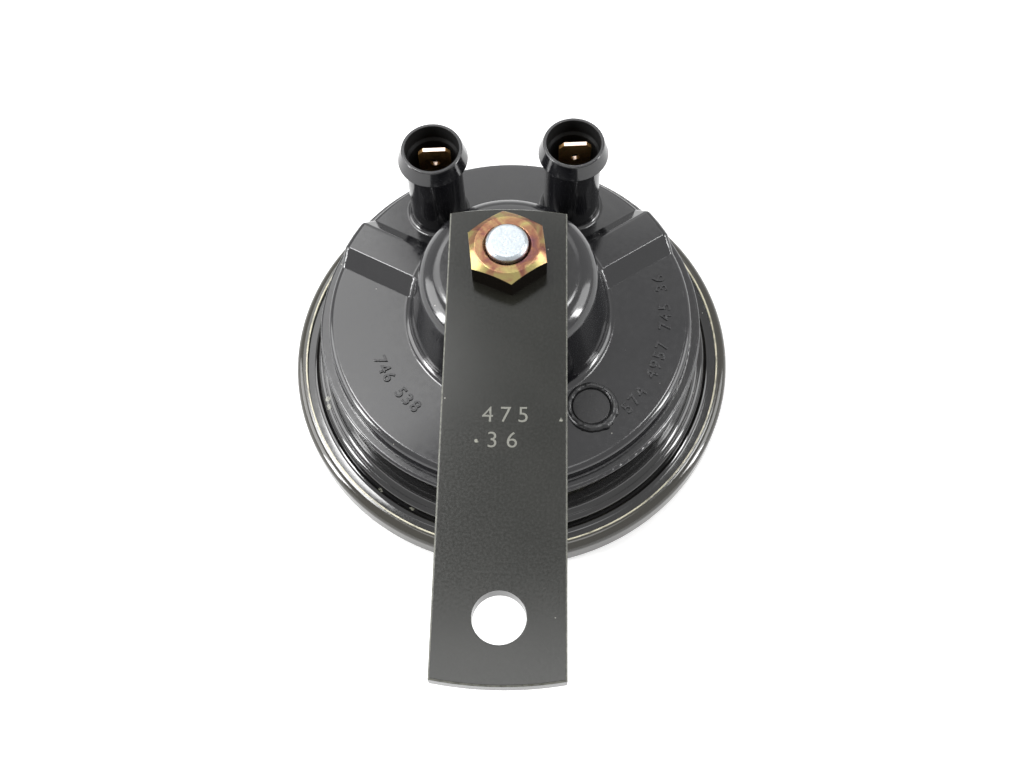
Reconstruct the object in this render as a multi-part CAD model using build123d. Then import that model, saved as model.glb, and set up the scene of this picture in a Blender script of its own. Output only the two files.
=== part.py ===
from build123d import *
import os
from math import cos, radians, sin, tan

# A disc horn on a strap bracket, in millimetres.
#
# Every sub-part is built in the horn's own frame: Z is the horn's axis and points to the rear,
# z = 0 is the seam plane, which is the top of the crimped hem round the rim, and the terminals
# stand towards +Y.  HORN then places that frame in the part's frame, whose origin is the centre
# of the bracket's mounting hole on the bracket's rear face, with the strap running along Y.

# Strap bracket: flat bar with bowed ends
STRAP_WIDTH = 22.2
STRAP_THICKNESS = 3.2
STRAP_END_BOW = 1.0
STRAP_EDGE_BREAK = 0.25
HOLE_TO_STUD = 67.7
MOUNT_HOLE_R = 4.5

# Stud and nut
STUD_R = 4.0
STUD_PROUD = 6.2
STUD_TIP_FILLET = 0.95
STUD_CLEARANCE = 0.2
NUT_ACROSS_FLATS = 13.8
NUT_HEIGHT = 5.0
NUT_TURN = 6.75
NUT_FACE_R = 6.0
NUT_CHAMFER_ANGLE = 28.0
HEX_SIDES = 6
NUT_COUNTERSINK_R = 4.5
THREAD_GAP = 0.05

# Rear cover: moulding with a dome, an annular face and a flange
COVER_WALL = 2.0
DOME_TOP_Z = 34.3
DOME_TOP_R = 16.65
DOME_FOOT_R = 19.95
DOME_TOP_FILLET = 4.5
DOME_FOOT_FILLET = 1.6
DOME_INNER_TOP_R = 14.85
FACE_Z = 17.2
FACE_WALL = 1.9
FACE_R = 36.5
FACE_EDGE_FILLET = 1.2
FLANGE_R = 38.6
FLANGE_TOP_Z = 13.9
FLANGE_EDGE_FILLET = 0.55
FLANGE_ROOT_FILLET = 0.3
COVER_SKIRT = 1.8
COVER_INNER_FILLET = 0.5

# The two radial ribs on the cover's face
RIB_ANGLE = 60.0
RIB_HEIGHT = 3.0
RIB_TOP_WIDTH = 6.8
RIB_FOOT_WIDTH = 12.8
RIB_EDGE_FILLET = 0.9

# The two terminal sockets on the cover
SOCKET_ANGLE = 28.9
SOCKET_RADIUS = 28.6
SOCKET_MOUTH_Z = 38.5
SOCKET_MOUTH_R = 5.95
SOCKET_MOUTH_BORE_R = 5.3
SOCKET_LIP_FILLET = 0.25
SOCKET_BARB_Z = 35.2
SOCKET_BARB_R = 6.97
SOCKET_BARB_FILLET = 0.15
SOCKET_TUBE_R = 5.5
SOCKET_FOOT_R = 5.75
SOCKET_FOOT_FILLET = 0.95
SOCKET_BORE_R = 4.75
SOCKET_FLOOR_FILLET = 0.5
SOCKET_FLOOR_Z = 19.0

# Body shell, pressed from sheet
SHELL_SHEET = 1.0
SHELL_TOP_Z = 12.6
SHELL_TOP_R = 38.0
SHELL_WALL_FOOT_R = 38.6
SHOULDER_Z = 2.4
SHOULDER_R = 40.6
TRAY_R = 41.4
TRAY_EDGE_R = 44.1
SHELL_TOP_FILLET = 1.5
SHOULDER_ROOT_FILLET = 1.0
SHOULDER_FILLET = 1.2
TRAY_FILLET = 0.8
ARMATURE_HOLE_R = 6.1

# Front ring, rolled from sheet and crimped over the shell's flange
RING_SHEET = 0.8
RING_R = 45.9
HEM_INNER_R = 43.6
RING_FRONT_Z = -6.4
RING_RETURN_R = 43.5
RING_MOUTH_R = 38.6
RING_CROWN_FILLET = 1.7
RING_BEAD_FILLET = 1.15
RING_FLANGE_FILLET = 0.6

# Diaphragm and its gaskets, clamped at the rim
GASKET = 0.4
GASKET_INNER_R = 41.4
CLAMP_R = 44.0
DIAPHRAGM_SHEET = 0.3
DIAPHRAGM_WAVE_RS = (24.0, 26.0, 30.0, 32.0)
DIAPHRAGM_WAVE = 1.0
DIAPHRAGM_WAVE_FILLET = 1.5

# Armature with its trip collar and spigot
ARMATURE_R = 5.4
ARMATURE_EDGE_FILLET = 0.4
ARMATURE_TOP_Z = 19.0
SPIGOT_R = 3.0
TRIP_COLLAR_R = 9.5
TRIP_COLLAR_TOP_Z = 6.4
TRIP_COLLAR_HEIGHT = 1.6
TRIP_COLLAR_FILLET = 0.3
INNER_WASHER_R = 8.0
INNER_WASHER_HEIGHT = 1.0
SPACER_R = 7.5
SPACER_HEIGHT = 1.0
TONE_DISC_SHEET = 0.8
TONE_DISC_R = 36.5
TONE_DISC_FLAT_R = 12.0
TONE_DISC_DISH_R = 28.0
TONE_DISC_DISH = 1.0
TONE_DISC_BEND = 6.0
COLLAR_WASHER_R = 6.0
COLLAR_WASHER_HEIGHT = 0.7
PEENED_HEAD_R = 3.9
PEENED_HEAD_HEIGHT = 0.8
PEENED_HEAD_FILLET = 0.6
SPIGOT_GAP = 0.05

# Magnet: pole piece, yoke cup, bobbin and winding
POLE_R = 5.8
AIR_GAP = 1.0
YOKE_R = 15.0
YOKE_SHEET = 1.5
YOKE_CORNER = 3.0
LEAD_NOTCH_WIDTH = 3.0
LEAD_NOTCH_HEIGHT = 3.0
BOBBIN_BORE_R = 5.9
BOBBIN_WALL = 1.0
BOBBIN_FLANGE_R = 12.0
BOBBIN_FLANGE = 1.2
WINDING_R = 11.6
WINDING_CROWN = 0.6

# Contact breaker under the shell's flat, built along its own radial direction
BREAKER_ANGLE = -55.4
STACK_SPAN = (29.2, 35.4)
STACK_WIDTH = 9.0
STACK_RIVET_U = 32.2
STACK_RIVET_V = 2.6
STACK_RIVET_R = 1.2
STACK_RIVET_HEAD_R = 1.7
STACK_RIVET_HEAD = 0.7
CLAMP_PLATE = 0.8
INSULATOR_LOWER = 1.0
FIXED_ARM = 1.0
INSULATOR_MIDDLE = 2.0
MOVING_ARM = 0.4
FIXED_ARM_TIP_U = 14.6
MOVING_ARM_TIP_U = 6.7
MOVING_ARM_TIP_WIDTH = 4.0
ARM_LUG_WIDTH = 2.6
MOVING_LUG_SPAN = (29.6, 33.0)
FIXED_LUG_SPAN = (16.4, 21.6)
CONTACT_U = 17.5
CONTACT_R = 1.6
CONTACT_SHANK_R = 0.8
CONTACT_HEAD_R = 1.3
CONTACT_HEAD = 0.4
TRIP_BUTTON_U = 8.2
TRIP_BUTTON_R = 1.3
TRIP_BUTTON_DEPTH = 1.6
TRIP_GAP = 0.2
HOLE_GAP = 0.05

# Adjusting screw, through the cover, the fixed nut and the shell to the fixed arm
SCREW_U = 26.4
SCREW_R = 2.5
SCREW_HEAD_R = 3.8
SCREW_HEAD_TOP_Z = 17.55
SCREW_HEAD_HEIGHT = 1.3
SCREW_HEAD_CROWN = 0.3
SCREW_POINT_FILLET = 0.6
SCREW_HOLE_R = 3.2
COVER_SCREW_HOLE_R = 3.9
ADJUSTER_NUT_FLATS = 8.0
ADJUSTER_NUT_HEIGHT = 2.4
SEALANT_R = 5.1
SEALANT_HEIGHT = 1.1
SEALANT_FILLET = 0.5

# Terminals on their insulating plate
BLADE_WIDTH = 6.3
BLADE_SHEET = 0.8
BLADE_TIP_Z = 37.3
BLADE_SHIFT = 0.35
BLADE_OFFSET = 0.6
BLADE_TIP_CHAMFER = 0.95
BLADE_HOLE_R = 0.85
BLADE_HOLE_DEPTH = 3.7
BLADE_FOOT = 8.0
BLADE_BEND = 1.2
BLADE_SLOT_GAP = 0.1
PLATE_THICKNESS = 1.0
PLATE_SPAN = (17.4, 33.6)
PLATE_HALF_ANGLE = 50.0
TERMINAL_RIVET_Y = 20.3
TERMINAL_RIVET_R = 1.3
TERMINAL_RIVET_HEAD_R = 2.0
TERMINAL_RIVET_HEAD = 0.7
BUSH_R = 2.1
BUSH_FLANGE_R = 3.2
BUSH_FLANGE = 0.8

# Resistor across the points, and the wiring
RESISTOR_R = 2.0
RESISTOR_SPAN = (21.5, 29.0)
RESISTOR_V = 10.0
RESISTOR_Z = 9.2
WIRE_R = 0.35
LEAD_WIRE_R = 0.6
WIRE_BEND = 0.8
COIL_LEAD_ANGLE = 127.3
BREAKER_LEAD_ANGLE = -80.0
WIRE_HOLE_RADIUS = 19.0
WIRE_HOLE_R = 1.2

# Seal in the cover's underside
SEAL_SPAN = (35.3, 36.7)
SEAL_HEIGHT = 1.0

# How far the horn is turned on its bracket
BODY_TURN = 3.3

# Levels that follow from the sizes above
STRAP_TOP_Z = DOME_TOP_Z + STRAP_THICKNESS
TRAY_Z = -RING_SHEET
SHELL_FLAT_Z = SHELL_TOP_Z - SHELL_SHEET
DIAPHRAGM_Z = TRAY_Z - SHELL_SHEET - GASKET
DIAPHRAGM_FRONT_Z = DIAPHRAGM_Z - DIAPHRAGM_SHEET
RING_FLANGE_Z = DIAPHRAGM_FRONT_Z - GASKET - RING_SHEET
YOKE_TOP_Z = DOME_TOP_Z - COVER_WALL
POLE_TOP_Z = YOKE_TOP_Z - YOKE_SHEET
POLE_FACE_Z = ARMATURE_TOP_Z + AIR_GAP
INNER_WASHER_Z = DIAPHRAGM_Z + INNER_WASHER_HEIGHT
TONE_DISC_Z = DIAPHRAGM_FRONT_Z - SPACER_HEIGHT
COLLAR_WASHER_Z = TONE_DISC_Z - TONE_DISC_SHEET
PEENED_Z = COLLAR_WASHER_Z - COLLAR_WASHER_HEIGHT
MOVING_ARM_Z = TRIP_COLLAR_TOP_Z + TRIP_GAP + TRIP_BUTTON_DEPTH
FIXED_ARM_TOP_Z = MOVING_ARM_Z - INSULATOR_MIDDLE
FIXED_ARM_Z = FIXED_ARM_TOP_Z - FIXED_ARM
CLAMP_PLATE_TOP_Z = FIXED_ARM_Z - INSULATOR_LOWER
PLATE_TOP_Z = SHELL_TOP_Z + PLATE_THICKNESS
FOOT_TOP_Z = PLATE_TOP_Z + BLADE_SHEET
SOCKET_X = SOCKET_RADIUS * sin(radians(SOCKET_ANGLE))
SOCKET_Y = SOCKET_RADIUS * cos(radians(SOCKET_ANGLE))
RIB_TOP_Z = FACE_Z + RIB_HEIGHT
STUD_HOLE_R = STUD_R + STUD_CLEARANCE

HORN = Location((0, HOLE_TO_STUD, -STRAP_TOP_Z), (0, 0, BODY_TURN))
NUT_PLACE = Location((0, HOLE_TO_STUD, 0), (0, 0, NUT_TURN))
BREAKER = Location((0, 0, 0), (0, 0, BREAKER_ANGLE))


def turned(*corners):
    """A body of revolution from (radius, z, fillet) corners of its closed half-section."""
    outline = FilletPolyline(
        *[(r, z) for r, z, _ in corners], radius=[fillet for _, _, fillet in corners], close=True
    )
    return revolve(Plane.XZ * make_face(outline), axis=Axis.Z)


def run_normal(start, end):
    """Unit normal on the right hand of a straight run of a half-section."""
    run = Vector(end[0] - start[0], end[1] - start[1]).normalized()
    return Vector(run.Y, -run.X)


def pressed(corners, thickness):
    """A pressed sheet of revolution: (radius, z, fillet) corners of the face on its left hand."""
    normals = [run_normal(start, end) for start, end in zip(corners, corners[1:])]
    back = []
    for index, (r, z, bend) in enumerate(corners):
        before = normals[max(index - 1, 0)]
        after = normals[min(index, len(normals) - 1)]
        shift = (before + after) * (thickness / (1 + before.dot(after)))
        right_turn = before.cross(after).Z < 0
        back_bend = max(bend - thickness, 0) if right_turn else bend + thickness
        back.append((r + shift.X, z + shift.Y, back_bend if bend > 0 else 0))
    return turned(*corners, *reversed(back))


def ring(inner_r, outer_r, low_z, high_z):
    """A flat washer between two levels."""
    section = Circle(outer_r)
    if inner_r > 0:
        section -= Circle(inner_r)
    return extrude(Pos(0, 0, low_z) * section, amount=high_z - low_z)


def hex_corner_r(across_flats):
    """Radius to the corners of a hexagon of a given size across its flats."""
    return across_flats / 2 / cos(radians(180 / HEX_SIDES))


def block(u_span, v_span, low_z, high_z):
    """A square-edged block along the breaker's radial direction."""
    centre = Pos((u_span[0] + u_span[1]) / 2, (v_span[0] + v_span[1]) / 2, (low_z + high_z) / 2)
    return centre * Box(u_span[1] - u_span[0], v_span[1] - v_span[0], high_z - low_z)


def polar(radius, angle, z):
    """A point of the horn's frame from its radius and its angle in degrees."""
    return (radius * cos(radians(angle)), radius * sin(radians(angle)), z)


def from_breaker(u, v, z):
    """A point of the breaker's frame, in the horn's frame."""
    turn = radians(BREAKER_ANGLE)
    return (u * cos(turn) - v * sin(turn), u * sin(turn) + v * cos(turn), z)


def wire(points, radius, bend):
    """A round wire along straight runs joined by arcs."""
    if len(points) > 2:
        path = FilletPolyline(*points, radius=bend)
    else:
        path = Line(*points)
    section = Plane(origin=path @ 0, z_dir=path % 0) * Circle(radius)
    return sweep(section, path=path)


def make_bracket():
    """Flat strap with bowed ends, a stud hole and a mounting hole."""
    half = STRAP_WIDTH / 2
    far_y = HOLE_TO_STUD + half
    near_y = -half
    outline = [
        Line((-half, near_y + STRAP_END_BOW), (-half, far_y - STRAP_END_BOW)),
        ThreePointArc((-half, far_y - STRAP_END_BOW), (0, far_y), (half, far_y - STRAP_END_BOW)),
        Line((half, far_y - STRAP_END_BOW), (half, near_y + STRAP_END_BOW)),
        ThreePointArc((half, near_y + STRAP_END_BOW), (0, near_y), (-half, near_y + STRAP_END_BOW)),
    ]
    strap = extrude(make_face(outline), amount=-STRAP_THICKNESS)
    rims = strap.edges().filter_by(Plane.XY)
    strap = chamfer(rims, STRAP_EDGE_BREAK)
    holes = Pos(0, 0, -STRAP_THICKNESS / 2) * Cylinder(MOUNT_HOLE_R, 2 * STRAP_THICKNESS)
    stud_hole = Pos(0, HOLE_TO_STUD, -STRAP_THICKNESS / 2)
    holes += stud_hole * Cylinder(STUD_HOLE_R, 2 * STRAP_THICKNESS)
    return strap - holes


def make_nut():
    """Thin hex nut whose top corners are cut by a cone, with a countersunk bore."""
    corner_r = hex_corner_r(NUT_ACROSS_FLATS)
    drop = (corner_r - NUT_FACE_R) * tan(radians(NUT_CHAMFER_ANGLE))
    flats_up = 180 / HEX_SIDES
    prism = extrude(RegularPolygon(corner_r, HEX_SIDES, rotation=flats_up), amount=NUT_HEIGHT)
    cone = turned(
        (0, 0, 0),
        (corner_r, 0, 0),
        (corner_r, NUT_HEIGHT - drop, 0),
        (NUT_FACE_R, NUT_HEIGHT, 0),
        (0, NUT_HEIGHT, 0),
    )
    bore_r = STUD_R + THREAD_GAP
    sink = NUT_COUNTERSINK_R - bore_r
    bore = turned(
        (0, 0, 0),
        (bore_r, 0, 0),
        (bore_r, NUT_HEIGHT - sink, 0),
        (NUT_COUNTERSINK_R, NUT_HEIGHT, 0),
        (0, NUT_HEIGHT, 0),
    )
    return (prism & cone) - bore


def make_core_stud():
    """Pole piece and threaded stud in one turned piece, with a rounded tip."""
    tip_z = STRAP_TOP_Z + STUD_PROUD
    return turned(
        (0, POLE_FACE_Z, 0),
        (POLE_R, POLE_FACE_Z, 0),
        (POLE_R, POLE_TOP_Z, 0),
        (STUD_R, POLE_TOP_Z, 0),
        (STUD_R, tip_z, STUD_TIP_FILLET),
        (0, tip_z, 0),
    )


def make_rib(side):
    """One radial rib: a straight bar with sloping sides, from inside the dome to the rim."""
    section = Polyline(
        (-RIB_FOOT_WIDTH / 2, FACE_Z),
        (RIB_FOOT_WIDTH / 2, FACE_Z),
        (RIB_TOP_WIDTH / 2, RIB_TOP_Z),
        (-RIB_TOP_WIDTH / 2, RIB_TOP_Z),
        close=True,
    )
    bar = Pos(DOME_TOP_R, 0, 0) * extrude(Plane.YZ * make_face(section), amount=FACE_R)
    within = turned((0, FACE_Z, 0), (FACE_R, FACE_Z, 0), (FACE_R, RIB_TOP_Z, 0), (0, RIB_TOP_Z, 0))
    return Rot(0, 0, 90 - side * RIB_ANGLE) * (bar & within)


def raised_edges(solid, low_r, high_r):
    """Edges between the face and the ribs' tops whose midpoints lie between two radii."""
    found = ShapeList()
    for edge in solid.edges():
        middle = edge @ 0.5
        level = FACE_Z - HOLE_GAP < middle.Z < RIB_TOP_Z + HOLE_GAP
        if level and low_r < Vector(middle.X, middle.Y).length < high_r:
            found.append(edge)
    return found


def make_cover_body():
    """Outer form of the cover: dome, annular face and flange, with the two ribs blended in."""
    body = turned(
        (0, SHELL_TOP_Z, 0),
        (FLANGE_R, SHELL_TOP_Z, FLANGE_ROOT_FILLET),
        (FLANGE_R, FLANGE_TOP_Z, FLANGE_EDGE_FILLET),
        (FACE_R, FLANGE_TOP_Z, FLANGE_ROOT_FILLET),
        (FACE_R, FACE_Z, 0),
        (DOME_FOOT_R, FACE_Z, 0),
        (DOME_TOP_R, DOME_TOP_Z, DOME_TOP_FILLET),
        (0, DOME_TOP_Z, 0),
    )
    for side in (-1, 1):
        body += make_rib(side)
    body = body.clean()
    long_edges = raised_edges(body, DOME_FOOT_R, FACE_R).filter_by(GeomType.LINE)
    body = fillet(long_edges.group_by(Axis.Z)[-1], RIB_EDGE_FILLET)
    body = fillet(raised_edges(body, DOME_TOP_R, DOME_FOOT_R + HOLE_GAP), DOME_FOOT_FILLET)
    return fillet(raised_edges(body, FACE_R - HOLE_GAP, FLANGE_R), FACE_EDGE_FILLET)


def make_cover_hollow():
    """Room inside the cover for the yoke, the terminals' plate and the stud."""
    inner_face_z = FACE_Z - FACE_WALL
    return turned(
        (0, SHELL_TOP_Z, 0),
        (FACE_R - COVER_SKIRT, SHELL_TOP_Z, 0),
        (FACE_R - COVER_SKIRT, inner_face_z, COVER_INNER_FILLET),
        (DOME_FOOT_R - COVER_WALL, inner_face_z, DOME_FOOT_FILLET),
        (DOME_INNER_TOP_R, YOKE_TOP_Z, DOME_TOP_FILLET - COVER_WALL),
        (STUD_HOLE_R, YOKE_TOP_Z, 0),
        (STUD_HOLE_R, DOME_TOP_Z, 0),
        (0, DOME_TOP_Z, 0),
    )


def socket_profile():
    """Outer form of one terminal socket: flared foot, drafted tube, barb and tapered mouth."""
    flare_r = SOCKET_FOOT_R + SOCKET_FOOT_FILLET
    return turned(
        (0, FACE_Z - FACE_WALL, 0),
        (flare_r, FACE_Z - FACE_WALL, 0),
        (flare_r, FACE_Z, 0),
        (SOCKET_FOOT_R, FACE_Z, SOCKET_FOOT_FILLET),
        (SOCKET_TUBE_R, SOCKET_BARB_Z, SOCKET_BARB_FILLET),
        (SOCKET_BARB_R, SOCKET_BARB_Z, SOCKET_BARB_FILLET),
        (SOCKET_MOUTH_R, SOCKET_MOUTH_Z, SOCKET_LIP_FILLET),
        (0, SOCKET_MOUTH_Z, 0),
    )


def socket_bore():
    """Inside of one terminal socket, wider at its mouth, with the blade's slot in its floor."""
    step = SOCKET_MOUTH_BORE_R - SOCKET_BORE_R
    bore = turned(
        (0, SOCKET_FLOOR_Z, 0),
        (SOCKET_BORE_R, SOCKET_FLOOR_Z, SOCKET_FLOOR_FILLET),
        (SOCKET_BORE_R, SOCKET_BARB_Z - step, 0),
        (SOCKET_MOUTH_BORE_R, SOCKET_BARB_Z, 0),
        (SOCKET_MOUTH_BORE_R, SOCKET_MOUTH_Z, 0),
        (0, SOCKET_MOUTH_Z, 0),
    )
    slot_height = SOCKET_FLOOR_Z - FACE_Z + 2 * FACE_WALL
    slot = Box(BLADE_WIDTH + 2 * BLADE_SLOT_GAP, BLADE_SHEET + 2 * BLADE_SLOT_GAP, slot_height)
    slot_z = SOCKET_FLOOR_Z - slot_height / 2 + BLADE_SLOT_GAP
    return bore + Pos(BLADE_SHIFT, BLADE_OFFSET, slot_z) * slot


def make_rear_cover():
    """Moulded cover with its two sockets, hollowed and pierced."""
    sockets = [Pos(side * SOCKET_X, SOCKET_Y, 0) for side in (-1, 1)]
    cover = make_cover_body()
    for place in sockets:
        cover += place * socket_profile()
    cover -= make_cover_hollow()
    for place in sockets:
        cover -= place * socket_bore()
    cover -= BREAKER * Pos(SCREW_U, 0, 0) * ring(0, COVER_SCREW_HOLE_R, SHELL_TOP_Z, DOME_TOP_Z)
    return cover - ring(SEAL_SPAN[0], SEAL_SPAN[1], SHELL_TOP_Z, SHELL_TOP_Z + SEAL_HEIGHT)


def make_body_shell():
    """Pressed body: flat top, wall, shoulder and tray, pierced for what passes through."""
    shell = pressed(
        (
            (ARMATURE_HOLE_R, SHELL_TOP_Z, 0),
            (SHELL_TOP_R, SHELL_TOP_Z, SHELL_TOP_FILLET),
            (SHELL_WALL_FOOT_R, SHOULDER_Z, SHOULDER_ROOT_FILLET),
            (SHOULDER_R, SHOULDER_Z, SHOULDER_FILLET),
            (TRAY_R, TRAY_Z, TRAY_FILLET),
            (TRAY_EDGE_R, TRAY_Z, 0),
        ),
        SHELL_SHEET,
    )
    holes = BREAKER * Pos(SCREW_U, 0, 0) * ring(0, SCREW_HOLE_R, SHELL_FLAT_Z, SHELL_TOP_Z)
    for side in (-1, 1):
        rivet = BREAKER * Pos(STACK_RIVET_U, side * STACK_RIVET_V, 0)
        holes += rivet * ring(0, STACK_RIVET_R + HOLE_GAP, SHELL_FLAT_Z, SHELL_TOP_Z)
        terminal = Pos(side * SOCKET_X, TERMINAL_RIVET_Y, 0)
        holes += terminal * ring(0, BUSH_R + HOLE_GAP, SHELL_FLAT_Z, SHELL_TOP_Z)
    wire_hole = Pos(*polar(WIRE_HOLE_RADIUS, BREAKER_LEAD_ANGLE, 0))
    holes += wire_hole * ring(0, WIRE_HOLE_R, SHELL_FLAT_Z, SHELL_TOP_Z)
    return shell - holes


def make_front_ring():
    """Rolled ring: hem over the shell's flange, outer wall, front bead and clamping flange."""
    return pressed(
        (
            (HEM_INNER_R, 0, 0),
            (RING_R, 0, RING_CROWN_FILLET),
            (RING_R, RING_FRONT_Z, RING_BEAD_FILLET),
            (RING_RETURN_R, RING_FRONT_Z, RING_BEAD_FILLET),
            (RING_RETURN_R, RING_FLANGE_Z, RING_FLANGE_FILLET),
            (RING_MOUTH_R, RING_FLANGE_Z, 0),
        ),
        RING_SHEET,
    )


def make_diaphragm():
    """Spring-steel sheet with one raised wave, clamped at its rim and at its centre."""
    inner, rise, fall, outer = DIAPHRAGM_WAVE_RS
    crest_z = DIAPHRAGM_Z + DIAPHRAGM_WAVE
    return pressed(
        (
            (SPIGOT_R + SPIGOT_GAP, DIAPHRAGM_Z, 0),
            (inner, DIAPHRAGM_Z, DIAPHRAGM_WAVE_FILLET),
            (rise, crest_z, DIAPHRAGM_WAVE_FILLET),
            (fall, crest_z, DIAPHRAGM_WAVE_FILLET),
            (outer, DIAPHRAGM_Z, DIAPHRAGM_WAVE_FILLET),
            (CLAMP_R, DIAPHRAGM_Z, 0),
        ),
        DIAPHRAGM_SHEET,
    )


def make_armature():
    """Steel plunger: trip collar, and a spigot peened over behind the tone disc's washer."""
    collar_low_z = TRIP_COLLAR_TOP_Z - TRIP_COLLAR_HEIGHT
    return turned(
        (0, ARMATURE_TOP_Z, 0),
        (ARMATURE_R, ARMATURE_TOP_Z, ARMATURE_EDGE_FILLET),
        (ARMATURE_R, TRIP_COLLAR_TOP_Z, 0),
        (TRIP_COLLAR_R, TRIP_COLLAR_TOP_Z, TRIP_COLLAR_FILLET),
        (TRIP_COLLAR_R, collar_low_z, TRIP_COLLAR_FILLET),
        (ARMATURE_R, collar_low_z, 0),
        (ARMATURE_R, INNER_WASHER_Z, 0),
        (SPIGOT_R, INNER_WASHER_Z, 0),
        (SPIGOT_R, PEENED_Z, 0),
        (PEENED_HEAD_R, PEENED_Z, 0),
        (PEENED_HEAD_R, PEENED_Z - PEENED_HEAD_HEIGHT, PEENED_HEAD_FILLET),
        (0, PEENED_Z - PEENED_HEAD_HEIGHT, 0),
    )


def make_tone_disc():
    """Dished disc that rings in front of the diaphragm, with a turned-down flat rim."""
    return pressed(
        (
            (SPIGOT_R + SPIGOT_GAP, TONE_DISC_Z, 0),
            (TONE_DISC_FLAT_R, TONE_DISC_Z, TONE_DISC_BEND),
            (TONE_DISC_DISH_R, TONE_DISC_Z - TONE_DISC_DISH, TONE_DISC_BEND),
            (TONE_DISC_R, TONE_DISC_Z - TONE_DISC_DISH, 0),
        ),
        TONE_DISC_SHEET,
    )


def spigot_washer(outer_r, low_z, high_z):
    """A washer on the armature's spigot."""
    return ring(SPIGOT_R + SPIGOT_GAP, outer_r, low_z, high_z)


def make_yoke_cup():
    """Steel cup round the coil, notched at its open end for the coil's two leads."""
    cup = pressed(
        (
            (STUD_R + THREAD_GAP, YOKE_TOP_Z, 0),
            (YOKE_R, YOKE_TOP_Z, YOKE_CORNER),
            (YOKE_R, SHELL_TOP_Z, 0),
        ),
        YOKE_SHEET,
    )
    for angle in (COIL_LEAD_ANGLE, BREAKER_LEAD_ANGLE):
        notch = Box(3 * YOKE_SHEET, LEAD_NOTCH_WIDTH, 2 * LEAD_NOTCH_HEIGHT)
        cup -= Rot(0, 0, angle) * Pos(YOKE_R - YOKE_SHEET / 2, 0, SHELL_TOP_Z) * notch
    return cup


def make_bobbin():
    """Spool: hub between two flanges."""
    hub_r = BOBBIN_BORE_R + BOBBIN_WALL
    spool = ring(BOBBIN_BORE_R, hub_r, SHELL_TOP_Z, POLE_TOP_Z)
    spool += ring(BOBBIN_BORE_R, BOBBIN_FLANGE_R, SHELL_TOP_Z, SHELL_TOP_Z + BOBBIN_FLANGE)
    return spool + ring(BOBBIN_BORE_R, BOBBIN_FLANGE_R, POLE_TOP_Z - BOBBIN_FLANGE, POLE_TOP_Z)


def make_winding():
    """The coil's turns as one ring with the crowned outside of a wound coil."""
    low_z = SHELL_TOP_Z + BOBBIN_FLANGE
    high_z = POLE_TOP_Z - BOBBIN_FLANGE
    return turned(
        (BOBBIN_BORE_R + BOBBIN_WALL, low_z, 0),
        (WINDING_R, low_z, WINDING_CROWN),
        (WINDING_R, high_z, WINDING_CROWN),
        (BOBBIN_BORE_R + BOBBIN_WALL, high_z, 0),
    )


def stack_rivet_holes(low_z, high_z):
    """The stack's two rivet holes, between two levels."""
    holes = []
    for side in (-1, 1):
        place = Pos(STACK_RIVET_U, side * STACK_RIVET_V, 0)
        holes.append(place * ring(0, STACK_RIVET_R + HOLE_GAP, low_z, high_z))
    return holes


def stack_block(low_z, high_z):
    """One block of the breaker's stack, with its two rivet holes."""
    half = STACK_WIDTH / 2
    return block(STACK_SPAN, (-half, half), low_z, high_z) - stack_rivet_holes(low_z, high_z)


def make_moving_arm():
    """Spring strip with a narrow tip, a hole for the screw to pass, and two soldering lugs."""
    half = STACK_WIDTH / 2
    tip_half = MOVING_ARM_TIP_WIDTH / 2
    low_z = MOVING_ARM_Z
    high_z = low_z + MOVING_ARM
    strip = Polyline(
        (STACK_SPAN[1], -half),
        (CONTACT_U, -half),
        (MOVING_ARM_TIP_U, -tip_half),
        (MOVING_ARM_TIP_U, tip_half),
        (CONTACT_U, half),
        (STACK_SPAN[1], half),
        close=True,
    )
    arm = extrude(Pos(0, 0, low_z) * make_face(strip), amount=MOVING_ARM)
    lug_reach = half + ARM_LUG_WIDTH
    arm += block(MOVING_LUG_SPAN, (-lug_reach, lug_reach), low_z, high_z)
    arm -= Pos(SCREW_U, 0, 0) * ring(0, SCREW_HOLE_R, low_z, high_z)
    arm -= Pos(CONTACT_U, 0, 0) * ring(0, CONTACT_SHANK_R + HOLE_GAP, low_z, high_z)
    arm -= Pos(TRIP_BUTTON_U, 0, 0) * ring(0, CONTACT_SHANK_R + HOLE_GAP, low_z, high_z)
    return BREAKER * (arm - stack_rivet_holes(low_z, high_z))


def make_fixed_arm():
    """Stiff strip that carries the fixed contact, with one soldering lug."""
    half = STACK_WIDTH / 2
    low_z = FIXED_ARM_Z
    high_z = FIXED_ARM_TOP_Z
    arm = block((FIXED_ARM_TIP_U, STACK_SPAN[1]), (-half, half), low_z, high_z)
    arm += block(FIXED_LUG_SPAN, (0, half + ARM_LUG_WIDTH), low_z, high_z)
    arm -= Pos(CONTACT_U, 0, 0) * ring(0, CONTACT_SHANK_R + HOLE_GAP, low_z, high_z)
    return BREAKER * (arm - stack_rivet_holes(low_z, high_z))


def riveted_button(face_r, face_z, arm_low_z, arm_high_z):
    """A contact or button: a face on one side of an arm, a shank through it and a head."""
    upward = face_z > arm_high_z
    seat_z = arm_high_z if upward else arm_low_z
    head_z = arm_low_z if upward else arm_high_z
    head_end_z = head_z - CONTACT_HEAD if upward else head_z + CONTACT_HEAD
    button = ring(0, face_r, min(face_z, seat_z), max(face_z, seat_z))
    button += ring(0, CONTACT_SHANK_R, arm_low_z, arm_high_z)
    return button + ring(0, CONTACT_HEAD_R, min(head_z, head_end_z), max(head_z, head_end_z))


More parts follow.
